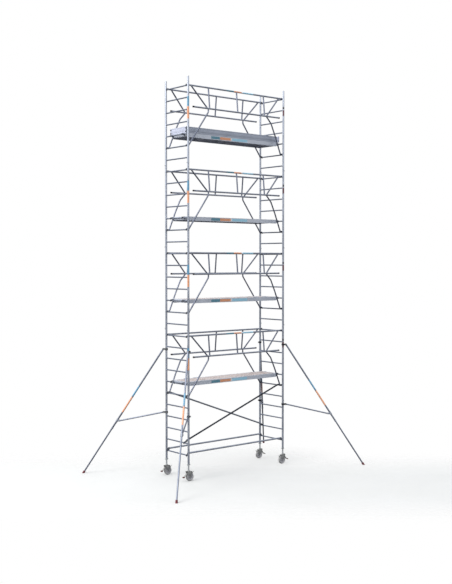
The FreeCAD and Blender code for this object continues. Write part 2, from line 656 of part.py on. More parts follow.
# Each end board runs past one long board and stops at the inner face of the other.
toe_top = top_deck + size("toe_height")
toe_inner = edge - toe
toe_reach = edge + size("toe_overhang")
toe_stop = toe_end - toe
node("toe_boards_long", [
    hollow_board("toe_long_near", (-toe_end, -edge, top_deck), (toe_stop, -toe_inner, toe_top), "x"),
    hollow_board("toe_long_far", (-toe_stop, toe_inner, top_deck), (toe_end, edge, toe_top), "x")])
node("toe_boards_end", [
    hollow_board("toe_end_left", (-toe_end, -toe_inner, top_deck), (-toe_stop, toe_reach, toe_top), "y"),
    hollow_board("toe_end_right", (toe_stop, -toe_reach, top_deck), (toe_end, toe_inner, toe_top), "y")])
clip_inset = 4
clip_tall = size("clip_height")
clip_low = 22
clip_high = size("toe_height") - clip_low - clip_tall
toe_clips = []
for x_name, x in (("left", -1), ("right", 1)):
    for y_name, y in (("near", -1), ("far", 1)):
        corner_out = (edge if x == y else toe_reach) - clip_inset
        for z_name, z in (("low", clip_low), ("high", clip_high)):
            name = f"toe_clip_{x_name}_{y_name}_{z_name}"
            xs = sorted((x * (toe_end + 0.2), x * (toe_end + 6)))
            ys = sorted((y * (corner_out - size("clip_width")), y * corner_out))
            foot = top_deck + z
            toe_clips.append(box(name, (xs[0], ys[0], foot), (xs[1], ys[1], foot + clip_tall)))
node("toe_board_clips", toe_clips)

# ---- castors -----------------------------------------------------------------------------
# Origin: on the floor under the spindle. The wheel trails towards +X, the pedal is on -X.

trail = size("wheel_trail")
axle_z = size("wheel_dia") / 2
crown_low = size("crown_height")
crown_high = crown_low + size("crown_thick")
race_high = crown_high + size("race_height")
flange_thick = 8
spindle_foot = race_high + size("gap")
inside = size("fork_inside")
leg_plate = size("fork_plate")

# The wheel: a tyre on a dished rim, both turned about the axle.
tyre = new_body("tyre")
tyre_sketch = new_sketch(tyre, "tyre_sketch", "YZ_Plane")
half_tread = size("wheel_width") / 2
tread = axle_z
add_outline(tyre_sketch, [
    (-half_tread, 78), (-half_tread, tread - 10), ((-half_tread + 3, tread - 3), (-half_tread + 10, tread)),
    (half_tread - 10, tread), ((half_tread - 3, tread - 3), (half_tread, tread - 10)), (half_tread, 78)])
revolve(tyre, "tyre_turned", tyre_sketch, "H_Axis")
rim_body = new_body("rim")
rim_sketch = new_sketch(rim_body, "rim_sketch", "YZ_Plane")
bore = size("axle_dia") / 2 + size("fit")
hub_half = inside - 1
add_outline(rim_sketch, [
    (-hub_half, bore), (-hub_half, 22), (-8, 28), (-6, 64), (-half_tread, 70), (-half_tread, 78),
    (half_tread, 78), (half_tread, 70), (6, 64), (8, 28), (hub_half, 22), (hub_half, bore)])
revolve(rim_body, "rim_turned", rim_sketch, "H_Axis")
wheel_master = compound("wheel_master", [tyre, rim_body], place(trail, 0, axle_z))

# The fork: crown, ball race, two side plates, the axle bolt and the pedal's pin.
pivot_x = -size("pedal_pivot_out")
pivot_z = size("pedal_pivot_height")
crown = plate("fork_crown", "XY_Plane", [(-32, -inside - leg_plate), (72, -inside - leg_plate),
              (72, inside + leg_plate), (-32, inside + leg_plate)], "sheet.crown_thick",
              [("sheet.kingpin_dia + 2 * sheet.fit", 0, 0)], (crown_low + crown_high) / 2)
race = tube("fork_race", "sheet.race_dia", "(sheet.race_dia - sheet.kingpin_dia) / 2 - sheet.fit",
            "sheet.race_height", place(0, 0, crown_high))
cheek = [
    (pivot_x - 12, pivot_z - 8), ((pivot_x - 9, pivot_z + 9), (pivot_x + 8, pivot_z + 12)),
    (-32, crown_low), (72, crown_low), (66, 150), (trail + 20, axle_z),
    ((trail, axle_z - 20), (trail - 20, axle_z)), (-14, 150)]
fork_pieces = [crown, race]
for side, sign in (("near", 1), ("far", -1)):
    fork_pieces.append(plate(f"fork_cheek_{side}", "XZ_Plane", cheek, "sheet.fork_plate",
                             [("sheet.axle_dia", trail, axle_z), ("sheet.pedal_pin_dia", pivot_x, pivot_z)],
                             sign * (inside + leg_plate / 2)))
    head = sign * (inside + leg_plate)
    fork_pieces.append(cylinder(f"axle_head_{side}", "sheet.bolt_dia", 8,
                                place(trail, head if sign > 0 else head - 8, axle_z, ALONG_Y)))
reach = inside + leg_plate
fork_pieces.append(cylinder("fork_axle", "sheet.axle_dia", 2 * reach, place(trail, -reach, axle_z, ALONG_Y)))
fork_pieces.append(cylinder("pedal_pin", "sheet.pedal_pin_dia", 2 * reach + 8,
                            place(pivot_x, -reach - 4, pivot_z, ALONG_Y)))
fork_pieces.append(plate("lock_tongue", "XZ_Plane", [
    (72, crown_low + 1), (72, crown_low + 5), (92, crown_low + 5), (112, 178), (146, 218), (149, 215),
    (113, 171), (108, 171), (89, crown_low + 1)], "20"))
fork_master = compound("fork_master", fork_pieces)

# The brake rocker: a hub on its pin, a sloping pedal with a pad, and a release pad above.
rocker = new_body("rocker")
rocker_sketch = new_sketch(rocker, "rocker_sketch", "XZ_Plane")
add_outline(rocker_sketch, [
    (pivot_x - 10, pivot_z - 4), (-128, 112), (-124, 104), (pivot_x - 2, pivot_z - 12),
    ((pivot_x + 10, pivot_z - 6), (pivot_x + 9, pivot_z + 7)), (pivot_x - 4, pivot_z + 24),
    (pivot_x - 14, pivot_z + 24)])
pad(rocker, "rocker_pad", rocker_sketch, "2 * (sheet.fork_inside - 4)", midplane=True)
rocker_hole = new_sketch(rocker, "rocker_hole", "XZ_Plane")
add_circle(rocker_hole, "sheet.pedal_pin_dia + 2 * sheet.fit", pivot_x, pivot_z)
pocket_through(rocker, "rocker_bore", rocker_hole)
pedal_pad = plate("pedal_pad", "XZ_Plane", [
    (-128, 112), (-132, 119), (-164, 106), ((-170, 100), (-166, 92)), (-152, 88), (-124, 104)], "56")
release_pad = plate("release_pad", "XZ_Plane", [
    (pivot_x - 14, pivot_z + 24), (pivot_x - 24, pivot_z + 27), (pivot_x - 25, pivot_z + 44),
    ((pivot_x - 12, pivot_z + 49), (pivot_x, pivot_z + 44)), (pivot_x - 4, pivot_z + 24)], "44")
rocker_master = compound("rocker_master", [rocker, pedal_pad, release_pad])

# The spindle: a threaded tube that slides in the upright, on a flange with a kingpin.
spindle_top = spindle_foot + flange_thick
spindle_tube = tube("spindle_tube", "sheet.spindle_dia", "(sheet.spindle_dia - sheet.spindle_bore) / 2",
                    "sheet.spindle_length", place(0, 0, spindle_top))
flange = cylinder("spindle_flange", "sheet.race_dia", flange_thick, place(0, 0, spindle_foot))
kingpin_low = crown_low - size("gap")
kingpin = cylinder("kingpin", "sheet.kingpin_dia", spindle_foot - kingpin_low, place(0, 0, kingpin_low))
kingpin_nut = cylinder("kingpin_nut", "sheet.bolt_dia", 7, place(0, 0, kingpin_low - 7))
spindle_master = compound("spindle_master", [spindle_tube, flange, kingpin, kingpin_nut])

# The adjusting nut, with two ears, turns on the spindle against the upright's foot.
nut_top = size("first_rung") - size("upright_below") - size("gap")
nut_body = new_body("nut")
nut_sketch = new_sketch(nut_body, "nut_sketch", "XY_Plane", nut_top - size("nut_height"))
add_circle(nut_sketch, "sheet.nut_dia")
add_circle(nut_sketch, "sheet.spindle_dia + 2 * sheet.fit")
pad(nut_body, "nut_pad", nut_sketch, "sheet.nut_height")
nut_pieces = [nut_body]
for side, turn in (("left", 180), ("right", 0)):
    root_x = size("nut_dia") / 2 - 1
    ear = plate(f"nut_ear_{side}", "XZ_Plane", [
        (root_x, nut_top - 24), (root_x + 14, nut_top - 28),
        ((root_x + 24, nut_top - 16), (root_x + 16, nut_top - 4)), (root_x, nut_top - 8)], "12")
    ear_blank = compound(f"nut_ear_blank_{side}", [ear], place(turn=Rotation(UP, turn)))
    ear_clear = cylinder(f"nut_ear_clear_{side}", "sheet.nut_dia", "sheet.nut_height",
                         place(0, 0, nut_top - size("nut_height")))
    nut_pieces.append(cut(f"nut_ear_cut_{side}", ear_blank, ear_clear))
nut_master = compound("nut_master", nut_pieces)

# ---- stabilizers -------------------------------------------------------------------------
# Origin: on the floor on the upright's axis. The leg points along +X before it is turned.

pivot = size("leg_pivot")
clamp_high = size("clamp_upper")
clamp_mid = size("clamp_lower")
leg_top = Vector(pivot, 0, clamp_high)
leg_way = (Vector(size("foot_radius"), 0, 0) - leg_top).normalize()
leg_turn = Rotation(UP, leg_way)


def on_leg(distance, across=0.0):
    return leg_top + leg_way * distance + Vector(0, across, 0)


def bolt_drill(name, x, height):
    """A long drill along Y for a pivot bolt at x and that height."""
    return cylinder(name, "sheet.pivot_bolt_dia", "2 * sheet.pivot_bolt_length",
                    place(x, -size("pivot_bolt_length"), height, ALONG_Y))


def clamp(name, height, ear_reach):
    """A split collar round the upright with a pair of ears for the leg or the arm."""
    foot = height - size("clamp_height") / 2
    ring = tube(name + "_ring", "sheet.clamp_dia", "(sheet.clamp_dia - sheet.clamp_bore) / 2",
                "sheet.clamp_height", place(0, 0, foot))
    pieces = [ring]
    half_ear = size("ear_half_height")
    for side, sign in (("near", -1), ("far", 1)):
        ys = sorted((sign * size("ear_inside"), sign * (size("ear_inside") + size("ear_thick"))))
        blank = box(f"{name}_ear_{side}_blank", (20, ys[0], height - half_ear),
                    (ear_reach, ys[1], height + half_ear))
        core = cylinder(f"{name}_ear_{side}_core", "sheet.clamp_dia", "sheet.clamp_height", place(0, 0, foot))
        drill = bolt_drill(f"{name}_ear_{side}_drill", pivot, height)
        pieces.append(cut(f"{name}_ear_{side}", cut(f"{name}_ear_{side}_coped", blank, core), drill))
    bolt_y = size("clamp_dia") / 2 + 6
    lug = box(f"{name}_lug_blank", (-12, size("clamp_dia") / 2 - 0.5, height - 16),
              (12, bolt_y + 12, height + 16))
    lug_core = cylinder(f"{name}_lug_core", "sheet.clamp_dia", "sheet.clamp_height", place(0, 0, foot))
    pieces.append(cut(f"{name}_lug", lug, lug_core))
    bolt_start = place(12, bolt_y + 4, height, ALONG_X)
    pieces.append(cylinder(f"{name}_bolt", "sheet.clamp_bolt_dia", 46, bolt_start))
    pieces.append(box(f"{name}_wing", (58, bolt_y - 10, height - 5), (66, bolt_y + 18, height + 5)))
    return pieces


clamp_pieces = []
for name, height in (("upper", clamp_high), ("lower", clamp_mid)):
    clamp_pieces += clamp(f"{name}_clamp", height, pivot + 16)
    clamp_pieces.append(cylinder(f"{name}_pivot_bolt", "sheet.pivot_bolt_dia", "sheet.pivot_bolt_length",
                                 place(pivot, -size("pivot_bolt_length") / 2, height, ALONG_Y)))
outer_leg = run("outer_leg_blank", "sheet.leg_dia", "sheet.leg_wall", on_leg(-size("leg_overrun")),
                on_leg(size("outer_leg_length")))
outer_leg = cut("outer_leg", outer_leg, bolt_drill("leg_pivot_hole", pivot, clamp_high))

# The arm: a tube from the lower clamp to a bracket on the leg, drilled at both ends.
station = size("arm_leg_station")
arm_start = Vector(pivot, 0, clamp_mid)
arm_end = on_leg(station) - Vector(size("arm_end_back"), 0, size("arm_end_drop"))
arm_way = (arm_end - arm_start).normalize() * size("arm_overrun")
arm_tube = run("arm_blank", "sheet.arm_dia", "sheet.arm_wall", arm_start - arm_way, arm_end + arm_way)
for end, spot in (("lower", arm_start), ("upper", arm_end)):
    arm_tube = cut(f"arm_{end}_drilled", arm_tube, bolt_drill(f"arm_{end}_drill", spot.x, spot.z))
arm_pieces = [arm_tube]
arm_pieces.append(cylinder("arm_bolt", "sheet.pivot_bolt_dia", 66, place(arm_end.x, -33, arm_end.z, ALONG_Y)))
collar = Placement(on_leg(station - size("bracket_length") / 2), leg_turn)
bracket_ring = tube("bracket_ring", "sheet.leg_dia + 14", "6.9", "sheet.bracket_length", collar)
bracket_ears = []
for side, y in (("near", -27), ("far", 21)):
    blank = box(f"bracket_{side}_blank", (arm_end.x - 16, y, arm_end.z - 18),
                (arm_end.x + 66, y + 6, arm_end.z + 18))
    core = cylinder(f"bracket_{side}_core", "sheet.leg_dia + 14", 200,
                    Placement(on_leg(station - 100), leg_turn))
    coped = cut(f"bracket_{side}_coped", blank, core)
    drill = bolt_drill(f"bracket_{side}_drill", arm_end.x, arm_end.z)
    bracket_ears.append(cut(f"bracket_{side}", coped, drill))
arm_pieces += [bracket_ring] + bracket_ears
leg_master = compound("leg_master", clamp_pieces + [outer_leg] + arm_pieces)

# The inner leg, with a rubber cap cut level with the floor.
foot_x = size("foot_radius")
leg_length = (Vector(foot_x, 0, 0) - leg_top).Length
cap_start = leg_length - size("foot_cap_length")
inner_tube = run("inner_leg", "sheet.inner_leg_dia", "sheet.leg_wall", on_leg(size("inner_leg_start")),
                 on_leg(cap_start))
cap_blank = cylinder("foot_cap_blank", "sheet.foot_cap_dia", "2 * sheet.foot_cap_length",
                     Placement(on_leg(cap_start), leg_turn))
under_floor = box("under_floor", (foot_x - 400, -200, -200), (foot_x + 400, 200, 0))
foot_cap = cut("foot_cap", cap_blank, under_floor)
foot_master = compound("foot_master", [inner_tube, foot_cap])

CORNERS = {
    "near_left": (-1, -1, -135), "near_right": (1, -1, -45),
    "far_left": (-1, 1, 135), "far_right": (1, 1, 45)}
for corner, (x_sign, y_sign, heading) in CORNERS.items():
    castor_spot = place(x_sign * HALF_LENGTH, y_sign * HALF_WIDTH, 0, HALF_TURN if x_sign > 0 else None)
    leg_spot = place(x_sign * HALF_LENGTH, y_sign * HALF_WIDTH, 0, Rotation(UP, heading))
    node(f"castor_spindle_{corner}", [spindle_master], castor_spot)
    node(f"adjusting_nut_{corner}", [nut_master], castor_spot)
    node(f"castor_fork_{corner}", [fork_master], castor_spot)
    node(f"castor_wheel_{corner}", [wheel_master], castor_spot)
    node(f"brake_pedal_{corner}", [rocker_master], castor_spot)
    node(f"stabilizer_{corner}", [leg_master], leg_spot)
    node(f"stabilizer_foot_{corner}", [foot_master], leg_spot)

# ---- check and write ---------------------------------------------------------------------

document.recompute()
failed = [item.Name for item in document.Objects if {"Invalid", "Error"} & set(item.State)]
if failed:
    raise SystemExit(f"failed objects: {failed[:20]}")
for item in nodes:
    if item.Shape.isNull() or not item.Shape.isValid():
        raise SystemExit(f"bad shape: {item.Label}")
os.makedirs("parts", exist_ok=True)
for item in nodes:
    Part.makeCompound(item.Shape.Solids).exportStep(f"parts/{item.Label}.step")
    print(item.Label, len(item.Shape.Solids), round(item.Shape.Volume / 1e6, 3))
print(len(nodes), "nodes")
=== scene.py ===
from math import atan2, ceil, cos, pi, radians, sin, sqrt, tan

import bmesh
import bpy
from mathutils import Matrix, Vector


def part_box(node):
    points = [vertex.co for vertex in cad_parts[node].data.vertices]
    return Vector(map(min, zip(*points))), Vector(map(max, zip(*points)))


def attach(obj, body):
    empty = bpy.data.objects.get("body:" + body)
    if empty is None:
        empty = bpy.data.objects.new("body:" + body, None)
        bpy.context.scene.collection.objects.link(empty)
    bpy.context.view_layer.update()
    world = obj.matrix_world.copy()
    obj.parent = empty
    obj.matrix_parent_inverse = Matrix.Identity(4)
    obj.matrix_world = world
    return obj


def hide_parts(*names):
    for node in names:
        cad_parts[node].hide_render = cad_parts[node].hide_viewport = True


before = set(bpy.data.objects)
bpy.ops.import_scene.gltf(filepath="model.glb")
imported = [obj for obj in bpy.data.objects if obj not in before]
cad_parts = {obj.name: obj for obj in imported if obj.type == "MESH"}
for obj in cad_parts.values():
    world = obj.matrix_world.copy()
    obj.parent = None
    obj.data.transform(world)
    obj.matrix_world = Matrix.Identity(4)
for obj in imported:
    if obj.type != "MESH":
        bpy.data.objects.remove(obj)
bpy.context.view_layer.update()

# small parts are drawn in millimetres and brought to metres when they are put in place
millimetre = Matrix.Scale(0.001, 4)
up = Vector((0, 0, 1))


# the tower's grid: rungs are counted from the lowest, and heights are in metres
tower = {"rungPitch": 0.28, "rungCount": 32, "frameRungs": (4, 7, 7, 7, 7), "belowFirstRung": 0.2,
         "aboveTopRung": 0.08, "guardRungs": (10, 17, 24, 31), "platformRungs": (6, 13, 20, 27),
         "railRises": (0.015, -0.485)}
frameTops = [sum(tower["frameRungs"][:count]) for count in range(1, len(tower["frameRungs"]) + 1)]
corners = ("near_left", "near_right", "far_left", "far_right")


def middle(node):
    low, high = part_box(node)
    return (low + high) / 2


cornerSpot = {corner: middle("castor_spindle_" + corner) for corner in corners}
halfLength = abs(cornerSpot["near_left"].x)
halfWidth = abs(cornerSpot["near_left"].y)
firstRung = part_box("end_frame_left_1")[0].z + tower["belowFirstRung"]


def rungHeight(number):
    return firstRung + number * tower["rungPitch"]


# shapes

def placed(shape, *moves):
    for move in moves:
        bmesh.ops.transform(shape, matrix=move, verts=shape.verts)
    return shape


def shift(x=0.0, y=0.0, z=0.0):
    return Matrix.Translation((x, y, z))


def turn(degrees, axis="Z"):
    return Matrix.Rotation(radians(degrees), 4, axis)


def aimed(start, way):
    rotation = up.rotation_difference(Vector(way)).to_matrix().to_4x4()
    return Matrix.Translation(start) @ rotation


def joined(*shapes):
    whole = bmesh.new()
    for shape in shapes:
        holder = bpy.data.meshes.new("holder")
        shape.to_mesh(holder)
        shape.free()
        whole.from_mesh(holder)
        bpy.data.meshes.remove(holder)
    return whole


def copies(shape, moves):
    master = bpy.data.meshes.new("master")
    shape.to_mesh(master)
    shape.free()
    whole = bmesh.new()
    for move in moves:
        start = len(whole.verts)
        whole.from_mesh(master)
        whole.verts.ensure_lookup_table()
        bmesh.ops.transform(whole, matrix=move, verts=whole.verts[start:])
    bpy.data.meshes.remove(master)
    return whole


def outward(shape):
    bmesh.ops.remove_doubles(shape, verts=shape.verts, dist=1e-5)
    bmesh.ops.recalc_face_normals(shape, faces=shape.faces)
    return shape


def softened(shape, rim, segments=2, sharperThan=0.5):
    edges = [edge for edge in shape.edges if edge.calc_face_angle(0) > sharperThan]
    bmesh.ops.bevel(shape, geom=edges, offset=rim, offset_type="OFFSET", segments=segments,
                    profile=0.5, affect="EDGES", clamp_overlap=True, material=-1)
    return shape


def turned(profile, start=(0, 0, 0), way=(0, 0, 1), steps=40, ring=False):
    # a profile of (radius, distance) pairs spun about the axis; a ring's profile is closed
    shape = bmesh.new()
    dots = [shape.verts.new((radius, 0, along)) for radius, along in profile]
    pairs = list(zip(dots, dots[1:])) + ([(dots[-1], dots[0])] if ring else [])
    for pair in pairs:
        shape.edges.new(pair)
    bmesh.ops.spin(shape, geom=shape.verts[:] + shape.edges[:], cent=(0, 0, 0), axis=(0, 0, 1),
                   dvec=(0, 0, 0), angle=2 * pi, steps=steps, use_merge=True, use_duplicate=False)
    return placed(outward(shape), aimed(start, way))


def rod(radius, start, end, rim=0.6, steps=24):
    way = Vector(end) - Vector(start)
    length = way.length
    return turned([(0, 0), (radius - rim, 0), (radius, rim), (radius, length - rim), (radius - rim, length),
                   (0, length)], start, way, steps)


def pipe(radius, bore, start, end, rim=0.4, steps=32):
    way = Vector(end) - Vector(start)
    length = way.length
    return turned([(bore, rim), (bore + rim, 0), (radius - rim, 0), (radius, rim), (radius, length - rim),
                   (radius - rim, length), (bore + rim, length), (bore, length - rim)], start, way, steps,
                  ring=True)


def arc(x, z, radius, startAngle, endAngle, steps):
    angles = [radians(startAngle + (endAngle - startAngle) * step / steps) for step in range(steps + 1)]
    return [(x + radius * cos(angle), z + radius * sin(angle)) for angle in angles]


def drawnOut(shape, faces, way):
    grown = bmesh.ops.extrude_face_region(shape, geom=faces)["geom"]
    dots = [part for part in grown if isinstance(part, bmesh.types.BMVert)]
    bmesh.ops.translate(shape, vec=way, verts=dots)
    bmesh.ops.recalc_face_normals(shape, faces=shape.faces)


def plate(outline, thickness, rim=1.0, segments=2, across=0.0):
    # an outline in X and Z, as thick along Y, centred at across
    shape = bmesh.new()
    face = shape.faces.new([shape.verts.new((x, across - thickness / 2, z)) for x, z in outline])
    drawnOut(shape, [face], (0, thickness, 0))
    return softened(shape, rim, segments) if rim else shape


def block(low, high, rim=1.0, segments=2):
    low, high = Vector(low), Vector(high)
    shape = bmesh.new()
    size = Matrix.Diagonal((*(high - low), 1))
    bmesh.ops.create_cube(shape, size=1, matrix=Matrix.Translation((low + high) / 2) @ size)
    return softened(shape, rim, segments) if rim else shape


def hexagon(acrossFlats, height, start, way, rim=0.8):
    shape = bmesh.new()
    radius = acrossFlats / sqrt(3)
    bmesh.ops.create_cone(shape, cap_ends=True, segments=6, radius1=radius, radius2=radius, depth=height,
                          matrix=shift(z=height / 2))
    return placed(softened(shape, rim, 2), aimed(start, way))


def dome(radius, height, start, way, steps=14):
    bow = [(radius * cos(radians(angle)), height * sin(radians(angle))) for angle in (0, 30, 60)]
    return turned([(0, 0)] + bow + [(0, height)], start, way, steps)


def helix(crest, root, pitch, low, high, steps=22):
    # a screw thread: one turn's profile carried round and up, then cut flat at both ends
    shape = bmesh.new()
    profile = [(root, 0), (crest, 0.3 * pitch), (crest, 0.55 * pitch), (root, 0.85 * pitch), (root, pitch)]
    dots = [shape.verts.new((radius, 0, low - pitch + along)) for radius, along in profile]
    for pair in zip(dots, dots[1:]):
        shape.edges.new(pair)
    turns = ceil((high - low) / pitch) + 2
    bmesh.ops.spin(shape, geom=shape.verts[:] + shape.edges[:], cent=(0, 0, 0), axis=(0, 0, 1),
                   dvec=(0, 0, pitch / steps), angle=2 * pi * turns, steps=steps * turns, use_merge=False,
                   use_duplicate=False)
    bmesh.ops.remove_doubles(shape, verts=shape.verts, dist=1e-3)
    for height, side in ((low, -1), (high, 1)):
        bmesh.ops.bisect_plane(shape, geom=shape.verts[:] + shape.edges[:] + shape.faces[:], dist=1e-4,
                               plane_co=(0, 0, height), plane_no=(0, 0, side), clear_outer=True)
        rims = [edge for edge in shape.edges if edge.is_boundary and
                all(abs(vert.co.z - height) < 1e-3 for vert in edge.verts)]
        bmesh.ops.holes_fill(shape, edges=rims, sides=0)
    return outward(shape)


def weldBead(spot, strutWay, railWay, strutRadius, railRadius, width=2.4, steps=24):
    # the seam where a round strut meets a round rail, rippled like a row of weld drops
    strutWay, railWay = Vector(strutWay).normalized(), Vector(railWay).normalized()
    side = (railWay - strutWay * railWay.dot(strutWay)).normalized()
    cross = strutWay.cross(side)
    flatWay = strutWay - railWay * railWay.dot(strutWay)
    shape = bmesh.new()
    bmesh.ops.create_circle(shape, segments=6, radius=width, matrix=shift(x=strutRadius) @ turn(90, "X"))
    bmesh.ops.spin(shape, geom=shape.verts[:] + shape.edges[:], cent=(0, 0, 0), axis=(0, 0, 1),
                   dvec=(0, 0, 0), angle=2 * pi, steps=steps, use_merge=True, use_duplicate=False)
    for vert in shape.verts:
        angle = atan2(vert.co.y, vert.co.x)
        out = (side * cos(angle) + cross * sin(angle)) * strutRadius
        flatOut = out - railWay * railWay.dot(out)
        a, b, c = flatWay.length_squared, flatWay.dot(flatOut), flatOut.length_squared - railRadius ** 2
        reach = (sqrt(b * b - a * c) - b) / a
        swell = 1 + 0.16 * sin(angle * steps / 2)
        offset = (vert.co.x * cos(angle) + vert.co.y * sin(angle) - strutRadius) * swell
        outline = (side * cos(angle) + cross * sin(angle)) * (strutRadius + offset)
        vert.co = Vector(spot) + outline + strutWay * (reach + vert.co.z * swell)
    return outward(shape)


def piece(name, shape, material, body, stands=(), smoothBelow=35):
    mesh = bpy.data.meshes.new(name)
    shape.to_mesh(mesh)
    shape.free()
    mesh.materials.append(material)
    mesh.polygons.foreach_set("use_smooth", [True] * len(mesh.polygons))
    mesh.set_sharp_from_angle(angle=radians(smoothBelow))
    mesh.update()
    thing = bpy.data.objects.new(name, mesh)
    bpy.context.scene.collection.objects.link(thing)
    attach(thing, body)
    if stands:
        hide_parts(*stands)
    return thing


def cornerParts(parts, moveAt):
    # makes each part in millimetres at all four corners, in place of the node it rides on
    for node, name, make, material, slot in parts:
        for corner in corners:
            body = f"{node}_{corner}"
            piece(f"{name}_{corner}", placed(make(), millimetre, moveAt(corner)), material, body,
                  (body,))


# finishes

def colour(code):
    channels = [int(code[start:start + 2], 16) / 255 for start in (0, 2, 4)]
    return tuple(c / 12.92 if c <= 0.04045 else ((c + 0.055) / 1.055) ** 2.4 for c in channels) + (1.0,)


def addNode(tree, kind, inputs=None, **settings):
    node = tree.nodes.new(kind)
    for name, value in settings.items():
        setattr(node, name, value)
    for name, value in (inputs or {}).items():
        if isinstance(value, bpy.types.NodeSocket):
            tree.links.new(value, node.inputs[name])
        else:
            node.inputs[name].default_value = value
    return node


def newGroup(name, inputs, outputs):
    group = bpy.data.node_groups.new(name, "ShaderNodeTree")
    for label, kind, value in inputs:
        socket = group.interface.new_socket(label, in_out="INPUT", socket_type=kind)
        if value is not None:
            socket.default_value = value
    for label, kind in outputs:
        group.interface.new_socket(label, in_out="OUTPUT", socket_type=kind)
    return group, group.nodes.new("NodeGroupInput"), group.nodes.new("NodeGroupOutput")


def sums(tree, operation, one, two=0.0, clamp=False):
    node = tree.nodes.new("ShaderNodeMath")
    node.operation = operation
    node.use_clamp = clamp
    for slot, value in enumerate((one, two)):
        if isinstance(value, bpy.types.NodeSocket):
            tree.links.new(value, node.inputs[slot])
        else:
            node.inputs[slot].default_value = value
    return node.outputs[0]


def ramped(tree, value, low, high, toLow=0.0, toHigh=1.0):
    node = addNode(tree, "ShaderNodeMapRange", {"Value": value, "From Min": low, "From Max": high,
                                                "To Min": toLow, "To Max": toHigh})
    return node.outputs["Result"]


def blended(tree, factor, one, two, blendType="MIX"):
    node = tree.nodes.new("ShaderNodeMix")
    node.data_type = "RGBA"
    node.blend_type = blendType
    for slot, value in ((0, factor), (6, one), (7, two)):
        if isinstance(value, bpy.types.NodeSocket):
            tree.links.new(value, node.inputs[slot])
        else:
            node.inputs[slot].default_value = value
    return node.outputs[2]


def makeDrawLines():
    # fine lines left by drawing or extruding: Along is large across the lines and small along them
    group, given, result = newGroup("drawLines", [
        ("Vector", "NodeSocketVector", None), ("Along", "NodeSocketVector", (300, 300, 2))],
        [("Lines", "NodeSocketFloat")])
    spread = addNode(group, "ShaderNodeVectorMath", {0: given.outputs["Vector"], 1: given.outputs["Along"]},
                     operation="MULTIPLY")
    fine = addNode(group, "ShaderNodeTexNoise", {"Vector": spread.outputs[0], "Scale": 1.0, "Detail": 3.0})
    group.links.new(ramped(group, fine.outputs["Fac"], 0.3, 0.7), result.inputs["Lines"])
    return group


def makeMottle():
    # soft cloudy tone, as on mill finish, zinc and old film
    group, given, result = newGroup("mottle",
                                    [("Vector", "NodeSocketVector", None),
                                     ("Scale", "NodeSocketFloat", 5.0)], [("Tone", "NodeSocketFloat")])
    cloud = addNode(group, "ShaderNodeTexNoise",
                    {"Vector": given.outputs["Vector"], "Scale": given.outputs["Scale"], "Detail": 5.0,
                     "Roughness": 0.6})
    group.links.new(ramped(group, cloud.outputs["Fac"], 0.32, 0.68), result.inputs["Tone"])
    return group


def makeGrain():
    # pebbled skin of a moulding or a sand casting
    group, given, result = newGroup("grain",
                                    [("Vector", "NodeSocketVector", None),
                                     ("Scale", "NodeSocketFloat", 900.0)], [("Height", "NodeSocketFloat")])
    pebble = addNode(group, "ShaderNodeTexVoronoi", {"Vector": given.outputs["Vector"],
                                                     "Scale": given.outputs["Scale"]}, feature="SMOOTH_F1")
    group.links.new(pebble.outputs["Distance"], result.inputs["Height"])
    return group


def makeEdgeWear():
    # bright rubbed edges, broken up by noise
    group, given, result = newGroup("edgeWear",
                                    [("Vector", "NodeSocketVector", None),
                                     ("Amount", "NodeSocketFloat", 0.5)], [("Worn", "NodeSocketFloat")])
    sharp = ramped(group, addNode(group, "ShaderNodeNewGeometry").outputs["Pointiness"], 0.52, 0.6)
    patch = addNode(group, "ShaderNodeTexNoise",
                    {"Vector": given.outputs["Vector"], "Scale": 60.0, "Detail": 4.0})
    broken = sums(group, "MULTIPLY", sharp, ramped(group, patch.outputs["Fac"], 0.35, 0.6))
    group.links.new(sums(group, "MULTIPLY", broken, given.outputs["Amount"], clamp=True),
                    result.inputs["Worn"])
    return group


def makeDust():
    # site dust that lies on what faces up
    group, given, result = newGroup("dust", [
        ("Vector", "NodeSocketVector", None), ("Normal", "NodeSocketVector", None),
        ("Amount", "NodeSocketFloat", 0.3)], [("Dust", "NodeSocketFloat")])
    facing = addNode(group, "ShaderNodeSeparateXYZ", {0: given.outputs["Normal"]})
    lying = ramped(group, facing.outputs["Z"], 0.2, 1.0)
    drift = addNode(group, "ShaderNodeTexNoise",
                    {"Vector": given.outputs["Vector"], "Scale": 14.0, "Detail": 6.0})
    settled = sums(group, "MULTIPLY", lying, ramped(group, drift.outputs["Fac"], 0.4, 0.7))
    group.links.new(sums(group, "MULTIPLY", settled, given.outputs["Amount"], clamp=True),
                    result.inputs["Dust"])
    return group


effects = {"drawLines": makeDrawLines(), "mottle": makeMottle(), "grain": makeGrain(),
           "edgeWear": makeEdgeWear(), "dust": makeDust()}


def effect(tree, name, **values):
    node = tree.nodes.new("ShaderNodeGroup")
    node.node_tree = effects[name]
    for label, value in values.items():
        if isinstance(value, bpy.types.NodeSocket):
            tree.links.new(value, node.inputs[label])
        else:
            node.inputs[label].default_value = value
    return node.outputs[0]


def newMaterial(name):
    material = bpy.data.materials.new(name)
    material.use_nodes = True
    tree = material.node_tree
    shader = tree.nodes["Principled BSDF"]
    place = tree.nodes.new("ShaderNodeTexCoord").outputs["Object"]
    return material, tree, shader, place


def giveBump(tree, shader, height, strength, distance):
    bump = addNode(tree, "ShaderNodeBump", {"Height": height, "Strength": strength, "Distance": distance})
    tree.links.new(bump.outputs["Normal"], shader.inputs["Normal"])


dustColour = "a39c90"


